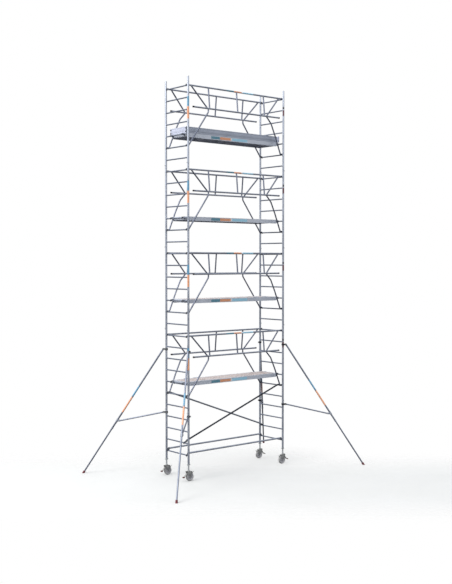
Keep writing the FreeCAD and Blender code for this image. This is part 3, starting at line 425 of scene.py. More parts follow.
def metalFinish(name, look, linesAlong, shaded=None):
    # linesAlong may be a function, where one material covers tubes that run different ways
    material, tree, shader, place = newMaterial(name)
    tone = effect(tree, "mottle", Vector=place, Scale=look["cloudScale"])
    along = linesAlong(tree, place) if callable(linesAlong) else linesAlong
    lines = effect(tree, "drawLines", Vector=place, Along=along)
    worn = effect(tree, "edgeWear", Vector=place, Amount=look["wear"])
    dust = effect(tree, "dust", Vector=place, Normal=place.node.outputs["Normal"], Amount=look["dust"])
    base = blended(tree, tone, colour(look["dark"]), colour(look["light"]))
    base = blended(tree, sums(tree, "MULTIPLY", lines, look["lines"]), base, colour(look["lineColour"]))
    # painted shade: where the shaded mask is 1, the base colour is multiplied by the look's shade colour
    if shaded:
        base = blended(tree, shaded(tree, place), base, colour(look["shade"]), "MULTIPLY")
    base = blended(tree, worn, base, colour(look["bare"]))
    base = blended(tree, dust, base, colour(dustColour))
    tree.links.new(base, shader.inputs["Base Color"])
    rough = sums(tree, "ADD", ramped(tree, lines, 0, 1, look["rough"] - 0.05, look["rough"] + 0.05),
                 sums(tree, "MULTIPLY", tone, 0.08))
    tree.links.new(sums(tree, "ADD", rough, sums(tree, "MULTIPLY", dust, 0.4), clamp=True),
                   shader.inputs["Roughness"])
    tree.links.new(ramped(tree, dust, 0, 1, look["metal"], 0.1), shader.inputs["Metallic"])
    giveBump(tree, shader, lines, look["bump"], 0.0003)
    return material


def mouldedFinish(name, look):
    material, tree, shader, place = newMaterial(name)
    tone = effect(tree, "mottle", Vector=place, Scale=look["cloudScale"])
    worn = effect(tree, "edgeWear", Vector=place, Amount=look["wear"])
    dust = effect(tree, "dust", Vector=place, Normal=place.node.outputs["Normal"], Amount=look["dust"])
    height = effect(tree, "grain", Vector=place, Scale=look["grainScale"])
    base = blended(tree, tone, colour(look["dark"]), colour(look["light"]))
    base = blended(tree, worn, base, colour(look["bare"]))
    base = blended(tree, dust, base, colour(dustColour))
    tree.links.new(base, shader.inputs["Base Color"])
    rough = sums(tree, "ADD", ramped(tree, tone, 0, 1, look["rough"] - 0.06, look["rough"] + 0.06),
                 sums(tree, "MULTIPLY", dust, 0.3), clamp=True)
    tree.links.new(rough, shader.inputs["Roughness"])
    giveBump(tree, shader, height, look["bump"], 0.0004)
    return material


tubeLook = {"dark": "aab0bd", "light": "c6cbd6", "lineColour": "d6dae2", "bare": "eceef2", "lines": 0.35,
            "cloudScale": 3.0, "wear": 0.0, "dust": 0.12, "rough": 0.36, "metal": 0.85, "bump": 0.15}


def framesLines(tree, place):
    # uprights run along Z and rungs along Y, told apart by how far out they stand
    apart = addNode(tree, "ShaderNodeSeparateXYZ", {0: place})
    out = sums(tree, "GREATER_THAN", sums(tree, "ABSOLUTE", apart.outputs["Y"]), halfWidth - 0.026)
    return blended(tree, out, (300, 2, 300, 1), (300, 300, 2, 1))


# painted shade: the rungs are multiplied by the shade colour, so they are darker than the uprights of the
# same aluminium
def rungShade(tree, place):
    apart = addNode(tree, "ShaderNodeSeparateXYZ", {0: place})
    return sums(tree, "LESS_THAN", sums(tree, "ABSOLUTE", apart.outputs["Y"]), halfWidth - 0.026)


# painted shade: the near diagonal braces, at Y below zero, are multiplied by the shade colour, so they are
# darker than the far ones
def nearShade(tree, place):
    return sums(tree, "LESS_THAN", addNode(tree, "ShaderNodeSeparateXYZ", {0: place}).outputs["Y"], 0.0)


def railMask(tree, place):
    # rails run along X at the guard rungs' heights and at the knee rails; struts stand nearly upright
    apart = addNode(tree, "ShaderNodeSeparateXYZ", {0: place})
    level = (tower["guardRungs"][1] - tower["guardRungs"][0]) * tower["rungPitch"]
    heights = []
    for rise in tower["railRises"]:
        start = rungHeight(tower["guardRungs"][0]) + rise - level / 2
        wrapped = sums(tree, "MODULO", sums(tree, "SUBTRACT", apart.outputs["Z"], start - 4 * level), level)
        offset = sums(tree, "ABSOLUTE", sums(tree, "SUBTRACT", wrapped, level / 2))
        heights.append(sums(tree, "LESS_THAN", offset, 0.021))
    return sums(tree, "MAXIMUM", heights[0], heights[1])


def railLines(tree, place):
    return blended(tree, railMask(tree, place), (250, 250, 3, 1), (2, 300, 300, 1))


# painted shade: the guardrails' struts are multiplied by the shade colour, so they are darker than their
# rails
def strutShade(tree, place):
    return sums(tree, "SUBTRACT", 1.0, railMask(tree, place))


# one tube aluminium in several copies: the rails, braces, diagonals and legs have darker base colours than
# the frames, which is painted shade
tubeFrames = metalFinish("aluminiumFrames", dict(tubeLook, shade="bfc2c9"), framesLines, rungShade)
tubeRails = metalFinish("aluminiumRails",
                        dict(tubeLook, dark="868c9b", light="a4aab8", rough=0.34, shade="c9cad1"),
                        railLines, strutShade)
tubeAlongX = metalFinish("aluminiumBraces", dict(tubeLook, dark="8f95a4", light="b0b6c4"), (2, 300, 300))
tubeDiagonal = metalFinish("aluminiumDiagonals",
                           dict(tubeLook, dark="868b96", light="9da2ad", shade="6a6c72"), (4, 300, 120),
                           nearShade)
tubeLegs = metalFinish("aluminiumLegs", dict(tubeLook, dark="747a88", light="8b91a0", lines=0.12, bump=0.05),
                       (60, 60, 60))
weldMetal = metalFinish("weldBeads", dict(tubeLook, dark="8f949e", light="b9bec8", rough=0.5, lines=0.1),
                        (260, 260, 260))
platformMetal = metalFinish("platformProfiles",
                            dict(tubeLook, dark="ccd2dd", light="dfe3ec", rough=0.45, metal=0.35, bump=0.3),
                            (2, 260, 260))
# one board aluminium in two copies: the end boards, which face the key light, are lighter and the long boards
# darker, which is painted light and shade
toeLongMetal = metalFinish("toeBoardsLong",
                           dict(tubeLook, dark="a8aebc", light="b8becb", rough=0.5, metal=0.35,
                                lineColour="c0c6d2"), (2, 180, 400))
toeEndMetal = metalFinish("toeBoardsEnd", dict(tubeLook, dark="bcc0d2", light="cdd1e0", rough=0.45, metal=0.3,
                                               lineColour="e8eaf4"), (180, 2, 400))
bracketMetal = metalFinish("castBrackets",
                           dict(tubeLook, dark="868b96", light="a3a8b3", rough=0.5, metal=0.6),
                           (90, 90, 90))
castMetal = metalFinish("castClaws",
                        {"dark": "25282d", "light": "383b43", "lineColour": "585c66", "bare": "a9adb6",
                         "lines": 0.3, "cloudScale": 40.0, "wear": 0.8, "dust": 0.3, "rough": 0.5,
                         "metal": 0.7, "bump": 0.6}, (500, 500, 500))
zincMetal = metalFinish("zincPlate",
                        {"dark": "a2a5a7", "light": "c3c6c7", "lineColour": "b7b8b3", "bare": "c9cac9",
                         "lines": 0.25, "cloudScale": 90.0, "wear": 0.5, "dust": 0.35, "rough": 0.38,
                         "metal": 0.6, "bump": 0.2}, (140, 140, 140))
forkMetal = metalFinish("forkPlate",
                        {"dark": "8f8f8d", "light": "adada9", "lineColour": "8f8f8a", "bare": "c0c0bd",
                         "lines": 0.3, "cloudScale": 70.0, "wear": 0.7, "dust": 0.5, "rough": 0.45,
                         "metal": 0.5, "bump": 0.25}, (160, 160, 160))
blackPlastic = mouldedFinish("blackPlastic",
                             {"dark": "101114", "light": "1d1f23", "bare": "3a3c41", "cloudScale": 30.0,
                              "grainScale": 900.0, "wear": 0.6, "dust": 0.35, "rough": 0.5, "bump": 0.25})
tyrePlastic = mouldedFinish("greyTyre",
                            {"dark": "a3a19f", "light": "b7b5b2", "bare": "c9c7c4", "cloudScale": 25.0,
                             "grainScale": 700.0, "wear": 0.4, "dust": 0.6, "rough": 0.6, "bump": 0.3})
rimPlastic = mouldedFinish("greyRim",
                           {"dark": "bcbabd", "light": "cfcdd0", "bare": "dddcde", "cloudScale": 30.0,
                            "grainScale": 900.0, "wear": 0.5, "dust": 0.5, "rough": 0.5, "bump": 0.2})
pedalRed = mouldedFinish("pedalRed",
                         {"dark": "3c1713", "light": "571f19", "bare": "7d4a40", "cloudScale": 40.0,
                          "grainScale": 800.0, "wear": 0.7, "dust": 0.4, "rough": 0.5, "bump": 0.3})
footRubber = mouldedFinish("footRubber",
                           {"dark": "5c0a19", "light": "771423", "bare": "96323f", "cloudScale": 30.0,
                            "grainScale": 700.0, "wear": 0.4, "dust": 0.2, "rough": 0.65, "bump": 0.4})


def filmPlywood():
    # brown film with a pressed wire mesh on its faces, and bare veneers along its edges
    look = {"dark": "b8a59e", "light": "cabab3", "scuff": "d6ccc7", "under": "b4b8c4",
            "veneerPale": "b08a62", "veneerDark": "6b4a30", "mesh": 260.0, "veneer": 1900.0}
    material, tree, shader, place = newMaterial("filmPlywood")
    tone = effect(tree, "mottle", Vector=place, Scale=3.5)
    scuffed = ramped(tree, effect(tree, "mottle", Vector=place, Scale=22.0), 0.62, 0.95)
    dust = effect(tree, "dust", Vector=place, Normal=place.node.outputs["Normal"], Amount=0.25)
    ridges = []
    for angle in (45, -45):
        slanted = addNode(tree, "ShaderNodeMapping", {"Vector": place, "Rotation": (0, 0, radians(angle))})
        wave = addNode(tree, "ShaderNodeTexWave",
                       {"Vector": slanted.outputs[0], "Scale": look["mesh"] / 6.28}, bands_direction="X")
        ridges.append(wave.outputs["Fac"])
    mesh = sums(tree, "MAXIMUM", ramped(tree, ridges[0], 0.7, 1.0), ramped(tree, ridges[1], 0.7, 1.0))
    apart = addNode(tree, "ShaderNodeSeparateXYZ", {0: place})
    veneers = sums(tree, "SINE", sums(tree, "MULTIPLY", apart.outputs["Z"], look["veneer"]))
    facing = addNode(tree, "ShaderNodeSeparateXYZ", {0: place.node.outputs["Normal"]}).outputs["Z"]
    edge = ramped(tree, sums(tree, "ABSOLUTE", facing), 0.6, 0.4)
    face = blended(tree, tone, colour(look["dark"]), colour(look["light"]))
    # painted reflection: faces turned downwards take the pale blue-grey under colour in place of the brown
    # film
    face = blended(tree, ramped(tree, facing, -0.3, -0.6), face, colour(look["under"]))
    face = blended(tree, sums(tree, "MULTIPLY", mesh, 0.35), face, colour(look["scuff"]))
    face = blended(tree, sums(tree, "MULTIPLY", scuffed, 0.4), face, colour(look["scuff"]))
    side = blended(tree, ramped(tree, veneers, -0.3, 0.3), colour(look["veneerDark"]),
                   colour(look["veneerPale"]))
    base = blended(tree, dust, blended(tree, edge, face, side), colour(dustColour))
    tree.links.new(base, shader.inputs["Base Color"])
    tree.links.new(ramped(tree, sums(tree, "MAXIMUM", mesh, edge), 0, 1, 0.42, 0.68),
                   shader.inputs["Roughness"])
    giveBump(tree, shader, sums(tree, "MULTIPLY", mesh, sums(tree, "SUBTRACT", 1.0, edge)), 0.5, 0.0006)
    return material


def labelFilm(name, code):
    # vinyl film: a plain band of colour, slightly faded and scuffed
    material, tree, shader, place = newMaterial(name)
    tint = colour(code)
    tone = effect(tree, "mottle", Vector=place, Scale=30.0)
    scratch = effect(tree, "drawLines", Vector=place, Along=(60, 60, 60))
    faded = tuple(0.8 * channel + 0.1 for channel in tint[:3]) + (1.0,)
    base = blended(tree, sums(tree, "MULTIPLY", tone, 0.6), tint, faded)
    base = blended(tree, ramped(tree, scratch, 0.86, 1.0, 0.0, 0.4), base, colour("d9dce2"))
    tree.links.new(base, shader.inputs["Base Color"])
    tree.links.new(ramped(tree, tone, 0, 1, 0.3, 0.42), shader.inputs["Roughness"])
    shader.inputs["Coat Weight"].default_value = 0.25
    giveBump(tree, shader, tone, 0.1, 0.0002)
    return material


plywood = filmPlywood()
# the two dark films are the blue and orange films in painted shade, for the uprights that turn away from the
# light
labels = {"blue": labelFilm("labelBlue", "5f9fc0"), "orange": labelFilm("labelOrange", "f2a678"),
          "teal": labelFilm("labelTeal", "5590a3"), "cyan": labelFilm("labelCyan", "a8def4"),
          "white": labelFilm("labelWhite", "f1f4f8"), "orangeInShade": labelFilm("labelOrangeInShade", "64172b"),
          "blueInShade": labelFilm("labelBlueInShade", "1c2026")}
print("finishes: made", len(bpy.data.materials), "materials")


# the tower's own parts, kept as they are and given their finishes

def dress(material, *names):
    for name in names:
        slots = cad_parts[name].data.materials
        slots.clear()
        slots.append(material)


ends = [f"end_frame_{side}_{level}" for side in ("left", "right") for level in range(1, 6)]
levels = range(1, len(tower["guardRungs"]) + 1)
dress(tubeFrames, *ends)
dress(tubeRails, *[f"guardrails_level_{level}" for level in levels])
dress(tubeAlongX, "horizontal_braces")
dress(tubeDiagonal, "diagonal_braces")
dress(platformMetal, *[f"platform_frame_{level}" for level in levels])
dress(plywood, "deck_panels", *[f"trapdoor_{level}" for level in levels])
dress(toeLongMetal, "toe_boards_long")
dress(toeEndMetal, "toe_boards_end")
dress(castMetal, "rail_hooks", "platform_hooks")
dress(blackPlastic, "rail_end_caps", "toe_board_clips")
dress(zincMetal, "frame_lock_pins")
for corner in corners:
    dress(zincMetal, "castor_spindle_" + corner, "adjusting_nut_" + corner)
    dress(forkMetal, "castor_fork_" + corner)
    dress(rimPlastic, "castor_wheel_" + corner)
    dress(pedalRed, "brake_pedal_" + corner)
    dress(tubeLegs, "stabilizer_" + corner)
    dress(footRubber, "stabilizer_foot_" + corner)
print("frames: dressed", len(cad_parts), "nodes")


# ladder frames: weld seams at the rungs' ends and the rivets that hold the spigots

ladder = {"uprightRadius": 0.025, "rungRadius": 0.016, "bead": 0.0024, "rivetRadius": 0.0045,
          "rivetHeight": 0.0022, "rivetDrops": (0.03, 0.09)}


def makeLadderDetails():
    seam = weldBead((0, halfWidth, 0), (0, -1, 0), (0, 0, 1), ladder["rungRadius"], ladder["uprightRadius"],
                    ladder["bead"], steps=20)
    moves = []
    for number in range(tower["rungCount"]):
        for x in (-halfLength, halfLength):
            for spin in (0, 180):
                moves.append(shift(x, 0, rungHeight(number)) @ turn(spin))
    welds = piece("rungWelds", copies(seam, moves), weldMetal, "tower", smoothBelow=60)
    rivet = dome(ladder["rivetRadius"], ladder["rivetHeight"], (0, 0, 0), (0, 0, 1), steps=10)
    rivet = placed(rivet, turn(90, "Y"), shift(ladder["uprightRadius"] - 0.0003))
    moves = []
    for rung in frameTops:
        top = rungHeight(rung - 1) + tower["aboveTopRung"]
        for drop in ladder["rivetDrops"]:
            for spot in cornerSpot.values():
                for side in (0, 180):
                    moves.append(shift(spot.x, spot.y, top - drop) @ turn(side))
    piece("spigotRivets", copies(rivet, moves), zincMetal, "tower")
    return len(welds.data.polygons)


print("ladder frames: welded,", makeLadderDetails(), "faces of weld")


# guardrail frames: weld seams where struts meet rails, end caps and claws

guard = {"railRadius": 0.020, "strutRadius": 0.0175, "railRise": 0.015, "kneeDrop": 0.485, "inset": 0.05,
         "posts": (-0.88, 0.0, 0.88), "diagonalTop": 1.405, "diagonalFoot": 0.945, "legTops": (-0.92, 0.935),
         "kneeReach": 1.38, "bead": 0.0021}
guardAcross = halfWidth - guard["inset"]


def guardMoves():
    moves = []
    for rung in tower["guardRungs"]:
        moves.append(shift(0, -guardAcross, rungHeight(rung)))
        moves.append(shift(0, guardAcross, rungHeight(rung)) @ turn(180))
    return moves


def makeGuardWelds():
    rail = (1, 0, 0)
    high, low = guard["railRise"], -guard["kneeDrop"]
    struts = [((x, 0, high), (x, -guard["inset"], low)) for x in guard["posts"]]
    for side in (-1, 1):
        struts.append(((side * guard["diagonalTop"], 0, high),
                       (side * guard["diagonalFoot"], -guard["inset"], low)))
    seams = []
    for start, end in struts:
        way = Vector(end) - Vector(start)
        seams.append(weldBead(start, way, rail, guard["strutRadius"], guard["railRadius"], guard["bead"], 18))
        seams.append(weldBead(end, -way, rail, guard["strutRadius"], guard["railRadius"], guard["bead"], 18))
    for x, way in zip(guard["legTops"], ((0, 0, -1), (0.165, 0, -0.17))):
        seams.append(weldBead((x, -guard["inset"], low), way, rail, guard["strutRadius"], guard["railRadius"],
                              guard["bead"], 18))
    piece("guardrailWelds", copies(joined(*seams), guardMoves()), weldMetal, "tower",
          smoothBelow=60)


endCap = {"radius": 21, "head": 6, "skirt": 26, "bore": 20.05}


def makeEndCaps():
    head, crown, skirt, bore = (endCap[name] for name in ("radius", "head", "skirt", "bore"))
    profile = [(0, 0.05), (bore, 0.05), (bore, -skirt), (head - 0.5, -skirt), (head, 0.8 - skirt)]
    profile += [(head - 3 + 3 * cos(radians(a)), crown - 3 + 3 * sin(radians(a))) for a in (0, 30, 60, 85)]
    profile += [(9, crown), (8, crown - 1.2), (0, crown - 1.2)]
    cap = placed(turned(profile, (0, 0, 0), (1, 0, 0), steps=36), millimetre)
    ends = [shift(guard["kneeReach"], -guard["inset"], -guard["kneeDrop"]),
            shift(-guard["kneeReach"], -guard["inset"], -guard["kneeDrop"]) @ turn(180)]
    moves = [move @ end for move in guardMoves() for end in ends]
    piece("railCaps", copies(cap, moves), blackPlastic, "tower", ("rail_end_caps",))


makeGuardWelds()
makeEndCaps()
print("guardrails: welded and capped")


# claws over the rungs

claw = {"mouth": 16.3, "thick": 28, "platformThick": 40, "rim": 2.2, "railGap": 45, "rivet": 4.5,
        "diagonalHalf": 20, "diagonalAcross": (-0.285, 0.340), "platformAcross": 0.225}


def clawShape(head, top, heel, thick, rivets):
    crown = [(4, top), (22, top - 9), (30, top - 22), (30, -24), (claw["mouth"], -24)]
    shape = plate(head + crown + arc(0, 0, claw["mouth"], 0, 180, 10) + heel, thick, claw["rim"], 2)
    heads = [dome(claw["rivet"], 2.4, (x, side * (thick / 2 - 0.4), z), (0, side, 0), 12)
             for x, z in rivets for side in (-1, 1)]
    return placed(joined(shape, *heads), millimetre)


def legHeel(left, drop):
    return [(-claw["mouth"], drop), (left, drop)]


def strutHead(end, way, half):
    length = sqrt(way[0] ** 2 + way[1] ** 2)
    way = (way[0] / length, way[1] / length)
    end = (end[0] + way[0], end[1] + way[1])
    across = (-way[1] * half, way[0] * half)
    return [(end[0] - across[0], end[1] - across[1]), (end[0] + across[0], end[1] + across[1])]


def makeClaws():
    gap = -claw["railGap"]
    rise = guard["railRise"] * 1000
    railClaw = clawShape([(gap, rise - 20), (gap, rise + 20)], rise + 20,
                         [(-claw["mouth"], rise - 20)], claw["thick"], [(-32, 15), (22, -14)])
    braceClaw = clawShape([(gap, 29), (gap, 71), (-18, 71)], 29,
                          [(-claw["mouth"] + 0.5, 4), (-30, 4)], claw["thick"], [(-32, 50), (22, -14)])
    drop = 5 * tower["rungPitch"] * 1000
    reach = halfLength * 1000
    knee = guard["kneeDrop"] * 1000
    strut = guard["strutRadius"] * 1000
    straightWay = (reach - 60 - 920, 24 - drop + knee + 85)
    bentWay = (reach - 60 - 1266, 24 - drop + knee + 470)
    lowClaws = []
    for way in (straightWay, bentWay):
        lowClaws.append(clawShape(strutHead((-60, 24), way, strut) + [(-20, 32)], 32, legHeel(-46, -12),
                                  claw["thick"], [(-34, 10), (22, -14)]))
    half, lift = 1455, 30
    slope = atan2(2 * tower["rungPitch"] * 1000 * half / reach, half)
    diagonalClaws = []
    for angle in (slope, -slope):
        foot = lift - tan(angle) * (reach - half)
        way = (cos(angle), sin(angle))
        across = (way[1] * claw["diagonalHalf"], way[0] * claw["diagonalHalf"])
        head = [(half - reach + across[0], foot - across[1]), (half - reach - across[0], foot + across[1])]
        diagonalClaws.append(clawShape(head + [(-20, 34)], 34, legHeel(-24, -8), claw["thick"], [(22, -14)]))
    level = [-1, 1]
    ends = {side: shift(side * halfLength) @ turn(180 if side < 0 else 0) for side in level}
    lowEnds = {side: shift(z=-drop / 1000) @ ends[side] for side in level}
    moves = guardMoves()
    braceMoves = [shift(0, y, firstRung) @ ends[side] for y in (-guardAcross, guardAcross) for side in level]
    middleRung = rungHeight(3)
    twoRungs = 2 * tower["rungPitch"]
    near, far = claw["diagonalAcross"]
    diagonalMoves = [shift(0, near, middleRung), shift(0, far, middleRung) @ turn(180)]
    claws = joined(
        copies(railClaw, [move @ ends[side] for move in moves for side in level]),
        copies(lowClaws[0], [move @ lowEnds[-1] for move in moves]),
        copies(lowClaws[1], [move @ lowEnds[1] for move in moves]),
        copies(braceClaw, braceMoves),
        copies(diagonalClaws[0], [move @ shift(z=twoRungs) @ ends[1] for move in diagonalMoves]),
        copies(diagonalClaws[1], [move @ shift(z=-twoRungs) @ ends[-1] for move in diagonalMoves]))
    piece("railClaws", claws, castMetal, "tower", ("rail_hooks",))
    platformClaw = clawShape([(-65, -30), (-65, 30)], 30, [(-claw["mouth"], -12.6), (-30, -14)],
                             claw["platformThick"], [(-50, 12), (-50, -12), (22, -14)])
    moves = [shift(0, y, rungHeight(rung)) @ ends[side]
             for rung in tower["platformRungs"] for y in (-claw["platformAcross"], claw["platformAcross"])
             for side in level]
    piece("platformClaws", copies(platformClaw, moves), castMetal, "tower",
          ("platform_hooks",))


makeClaws()
print("claws: over", len(tower["guardRungs"]) * 2 + 1, "rungs a side")


# lock pins: a headed pin through each joint, with its wire loop

lockPin = {"radius": 4.75, "half": 33, "headRadius": 9.5, "head": 5, "loop": 13, "wire": 1.6, "loopDrop": 11}


def makeLockPins():
    half = lockPin["half"]
    pin = turned([(0, -half), (2.5, -half), (lockPin["radius"], -half + 4), (lockPin["radius"], half),
                  (lockPin["headRadius"] - 1, half), (lockPin["headRadius"], half + 1),
                  (lockPin["headRadius"], half + lockPin["head"] - 1.5),
                  (lockPin["headRadius"] - 2, half + 5), (0, half + 5)], (0, 0, 0), (1, 0, 0), 24)
    loopX = half + lockPin["head"] + 2 * lockPin["wire"]
    wire = turned([(lockPin["loop"] + lockPin["wire"] * cos(radians(a)), lockPin["wire"] * sin(radians(a)))
                   for a in range(0, 360, 45)], (loopX, 0, -lockPin["loopDrop"]), (1, 0, 0), 32, ring=True)
    neck = rod(1.6, (half + 3, 0, -0.5), (loopX + 0.5, 0, 1.6), 0.3, 12)
    pinAndLoop = placed(joined(pin, wire, neck), millimetre)
    below = lockPin["loop"] + lockPin["wire"] + lockPin["loopDrop"]
    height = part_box("frame_lock_pins")[0].z + below / 1000
    moves = []
    for rung in frameTops[:-1]:
        lift = height + (rung - frameTops[0]) * tower["rungPitch"]
        moves += [shift(spot.x, spot.y, lift) @ turn(180 if spot.x < 0 else 0)
                  for spot in cornerSpot.values()]
    piece("lockPins", copies(pinAndLoop, moves), zincMetal, "tower", ("frame_lock_pins",))


makeLockPins()
print("lock pins: in place")


# platforms: rivets and trapdoors

deck = {"rise": 35, "thick": 12, "edge": 290, "returnWidth": 40, "sideEnd": 1420, "rivetPitch": 160,
        "rivetRadius": 3.6, "hatchStart": -1250, "hatchEnd": -550, "gap": 5, "rim": 3,
        "hingeAcross": 256, "hingeRise": 43, "knuckle": 60, "knuckleRadius": 7, "pinRadius": 4,
        "knuckleInset": 110, "handY": -185, "handHalf": 45, "handEnd": 16, "gripLip": 1.5,
        "gripFlange": 7}


def platformMove(level):
    return shift(0, 0, rungHeight(tower["platformRungs"][level - 1])) @ turn(180 if level % 2 == 0 else 0)


def makePlatformRivets():
    spots = []
    count = int(2 * deck["sideEnd"] / deck["rivetPitch"])
    for step in range(count + 1):
        x = -deck["sideEnd"] + 30 + step * (2 * deck["sideEnd"] - 60) / count
        for side in (-1, 1):
            if not (deck["hatchStart"] < x < deck["hatchEnd"]):
                spots.append((x, side * (deck["edge"] - deck["returnWidth"] - 14), deck["rise"]))
    rivet = dome(deck["rivetRadius"], 1.1, (0, 0, -0.2), (0, 0, 1), 10)
    onDeck = copies(rivet, [shift(*spot) for spot in spots])
    sideRivet = placed(dome(4.5, 1.8, (0, 0, -0.2), (0, 0, 1), 10), turn(90, "X"))
    ends = []
    for x in (-deck["sideEnd"] + 16, -deck["sideEnd"] + 44, deck["sideEnd"] - 44, deck["sideEnd"] - 16):
        for z in (-30, 12):
            ends.append(shift(x, -deck["edge"], z))
            ends.append(turn(180) @ shift(x, -deck["edge"], z))
    rivets = placed(joined(onDeck, copies(sideRivet, ends)), millimetre)
    moves = [platformMove(level) for level in levels]
    piece("platformRivets", copies(rivets, moves), zincMetal, "tower")


def handSlot(grow=0.0):
    # the outline of the hand hole, grown by so much
    x, y, half = (deck["hatchStart"] + deck["hatchEnd"]) / 2, deck["handY"], deck["handHalf"]
    radius = deck["handEnd"] + grow
    return arc(x + half, y, radius, -90, 90, 10) + arc(x - half, y, radius, 90, 270, 10)


def makeTrapdoor(level):
    low, high = deck["rise"] - deck["thick"], deck["rise"]
    start, end = deck["hatchStart"] + deck["gap"], deck["hatchEnd"] - deck["gap"]
    across = deck["edge"] - deck["returnWidth"] - deck["gap"]
    rim = deck["rim"]
    body = f"trapdoor_{level}"
    panel = bmesh.new()
    square = [(start + rim, -across + rim), (end - rim, -across + rim), (end - rim, across - rim),
              (start + rim, across - rim)]
    outer, inner = ([panel.verts.new((x, y, low)) for x, y in outline] for outline in (square, handSlot()))
    edges = [panel.edges.new(pair) for ring in (outer, inner) for pair in zip(ring, ring[1:] + ring[:1])]
    bmesh.ops.triangle_fill(panel, edges=edges, use_beauty=True)
    drawnOut(panel, panel.faces[:], (0, 0, high - low))
    softened(panel, 0.5, 1)
    piece(f"trapdoorPanel_{level}", placed(panel, millimetre, platformMove(level)), plywood, body,
          (body,))
    trims = [block((start, -across, low - 1), (end, -across + rim, high + 1), 0.8),
             block((start, across - rim, low - 1), (end, across, high + 1), 0.8),
             block((start, -across + rim, low - 1), (start + rim, across - rim, high + 1), 0.8),
             block((end - rim, -across + rim, low - 1), (end, across - rim, high + 1), 0.8)]
    for station in (deck["hatchStart"] + deck["knuckleInset"],
                    deck["hatchEnd"] - deck["knuckleInset"] - 3 * deck["knuckle"]):
        left, right = station + deck["knuckle"] + 0.5, station + 2 * deck["knuckle"] - 0.5
        axis = (deck["hingeAcross"], deck["hingeRise"])
        trims.append(pipe(deck["knuckleRadius"], deck["pinRadius"] + 0.05, (left, *axis), (right, *axis),
                          0.5, 24))
        trims.append(block((left, axis[0] - 70, high + 0.4), (right, axis[0] - 3, high + 2.4), 0.6))
        trims.append(block((left, axis[0] - 9, high + 0.6), (right, axis[0] - 2, axis[1] - 3), 0.6))
        for x in (left + 12, right - 12):
            for y in (axis[0] - 58, axis[0] - 34):
                trims.append(dome(4.2, 1.6, (x, y, high + 2.2), (0, 0, 1), 12))
    piece(f"trapdoorTrim_{level}", placed(joined(*trims), millimetre, platformMove(level)), platformMetal,
          body, (body,))
    grip = bmesh.new()
    lip, flange = deck["gripLip"], deck["gripFlange"]
    section = ((-2, low - lip), (-2, high + lip), (flange, high + lip), (flange, high), (0, high), (0, low),
               (flange, low), (flange, low - lip))
    rings = [[grip.verts.new((x, y, height)) for x, y in handSlot(grow)] for grow, height in section]
    for one, two in zip(rings, rings[1:] + rings[:1]):
        for four in zip(one, one[1:] + one[:1], two[1:] + two[:1], two):
            grip.faces.new(four)
    bmesh.ops.recalc_face_normals(grip, faces=grip.faces)
    piece(f"trapdoorGrip_{level}", placed(softened(grip, 0.5, 2, 0.8), millimetre, platformMove(level)),
          blackPlastic, body, (body,))


makePlatformRivets()
for level in levels:
    makeTrapdoor(level)
print("platforms: riveted, with", len(levels), "trapdoors")


# toe boards on the top platform

toeBoard = {"high": 150, "thick": 22, "wall": 2, "groove": 2.2, "grooves": (32, 118), "clipIn": 4,
            "clipWide": 44, "clipHigh": 26, "clipThick": 6, "clipRises": (22, 102),
            "recess": 25}


def boardProfile():
    # the section of a hollow board, in Y and Z, with two shallow grooves along each face
    thick, high, deep = toeBoard["thick"], toeBoard["high"], toeBoard["groove"]
    outline = [(0, 0), (thick, 0)]
    for rise in toeBoard["grooves"]:
        outline += [(thick, rise - 6), (thick - deep, rise - 4), (thick - deep, rise + 4), (thick, rise + 6)]
    outline += [(thick, high), (0, high)]
    for rise in reversed(toeBoard["grooves"]):
        outline += [(0, rise + 6), (deep, rise + 4), (deep, rise - 4), (0, rise - 6)]
    return outline


def makeBoard(length):
    # a length of the section along X, with recessed ends
    shape = bmesh.new()
    face = shape.faces.new([shape.verts.new((0, y, z)) for y, z in boardProfile()])
    drawnOut(shape, [face], (length, 0, 0))
    long = [edge for edge in shape.edges if abs(edge.verts[0].co.x - edge.verts[1].co.x) > 1]
    bmesh.ops.bevel(shape, geom=long, offset=0.9, offset_type="OFFSET", segments=2, profile=0.5,
                    affect="EDGES", clamp_overlap=True, material=-1)
    ends = [face for face in shape.faces if abs(face.normal.x) > 0.99]
    bmesh.ops.inset_individual(shape, faces=ends, thickness=toeBoard["wall"], depth=0)
    for face in ends:
        bmesh.ops.translate(shape, vec=face.normal * -toeBoard["recess"], verts=face.verts)
    return shape


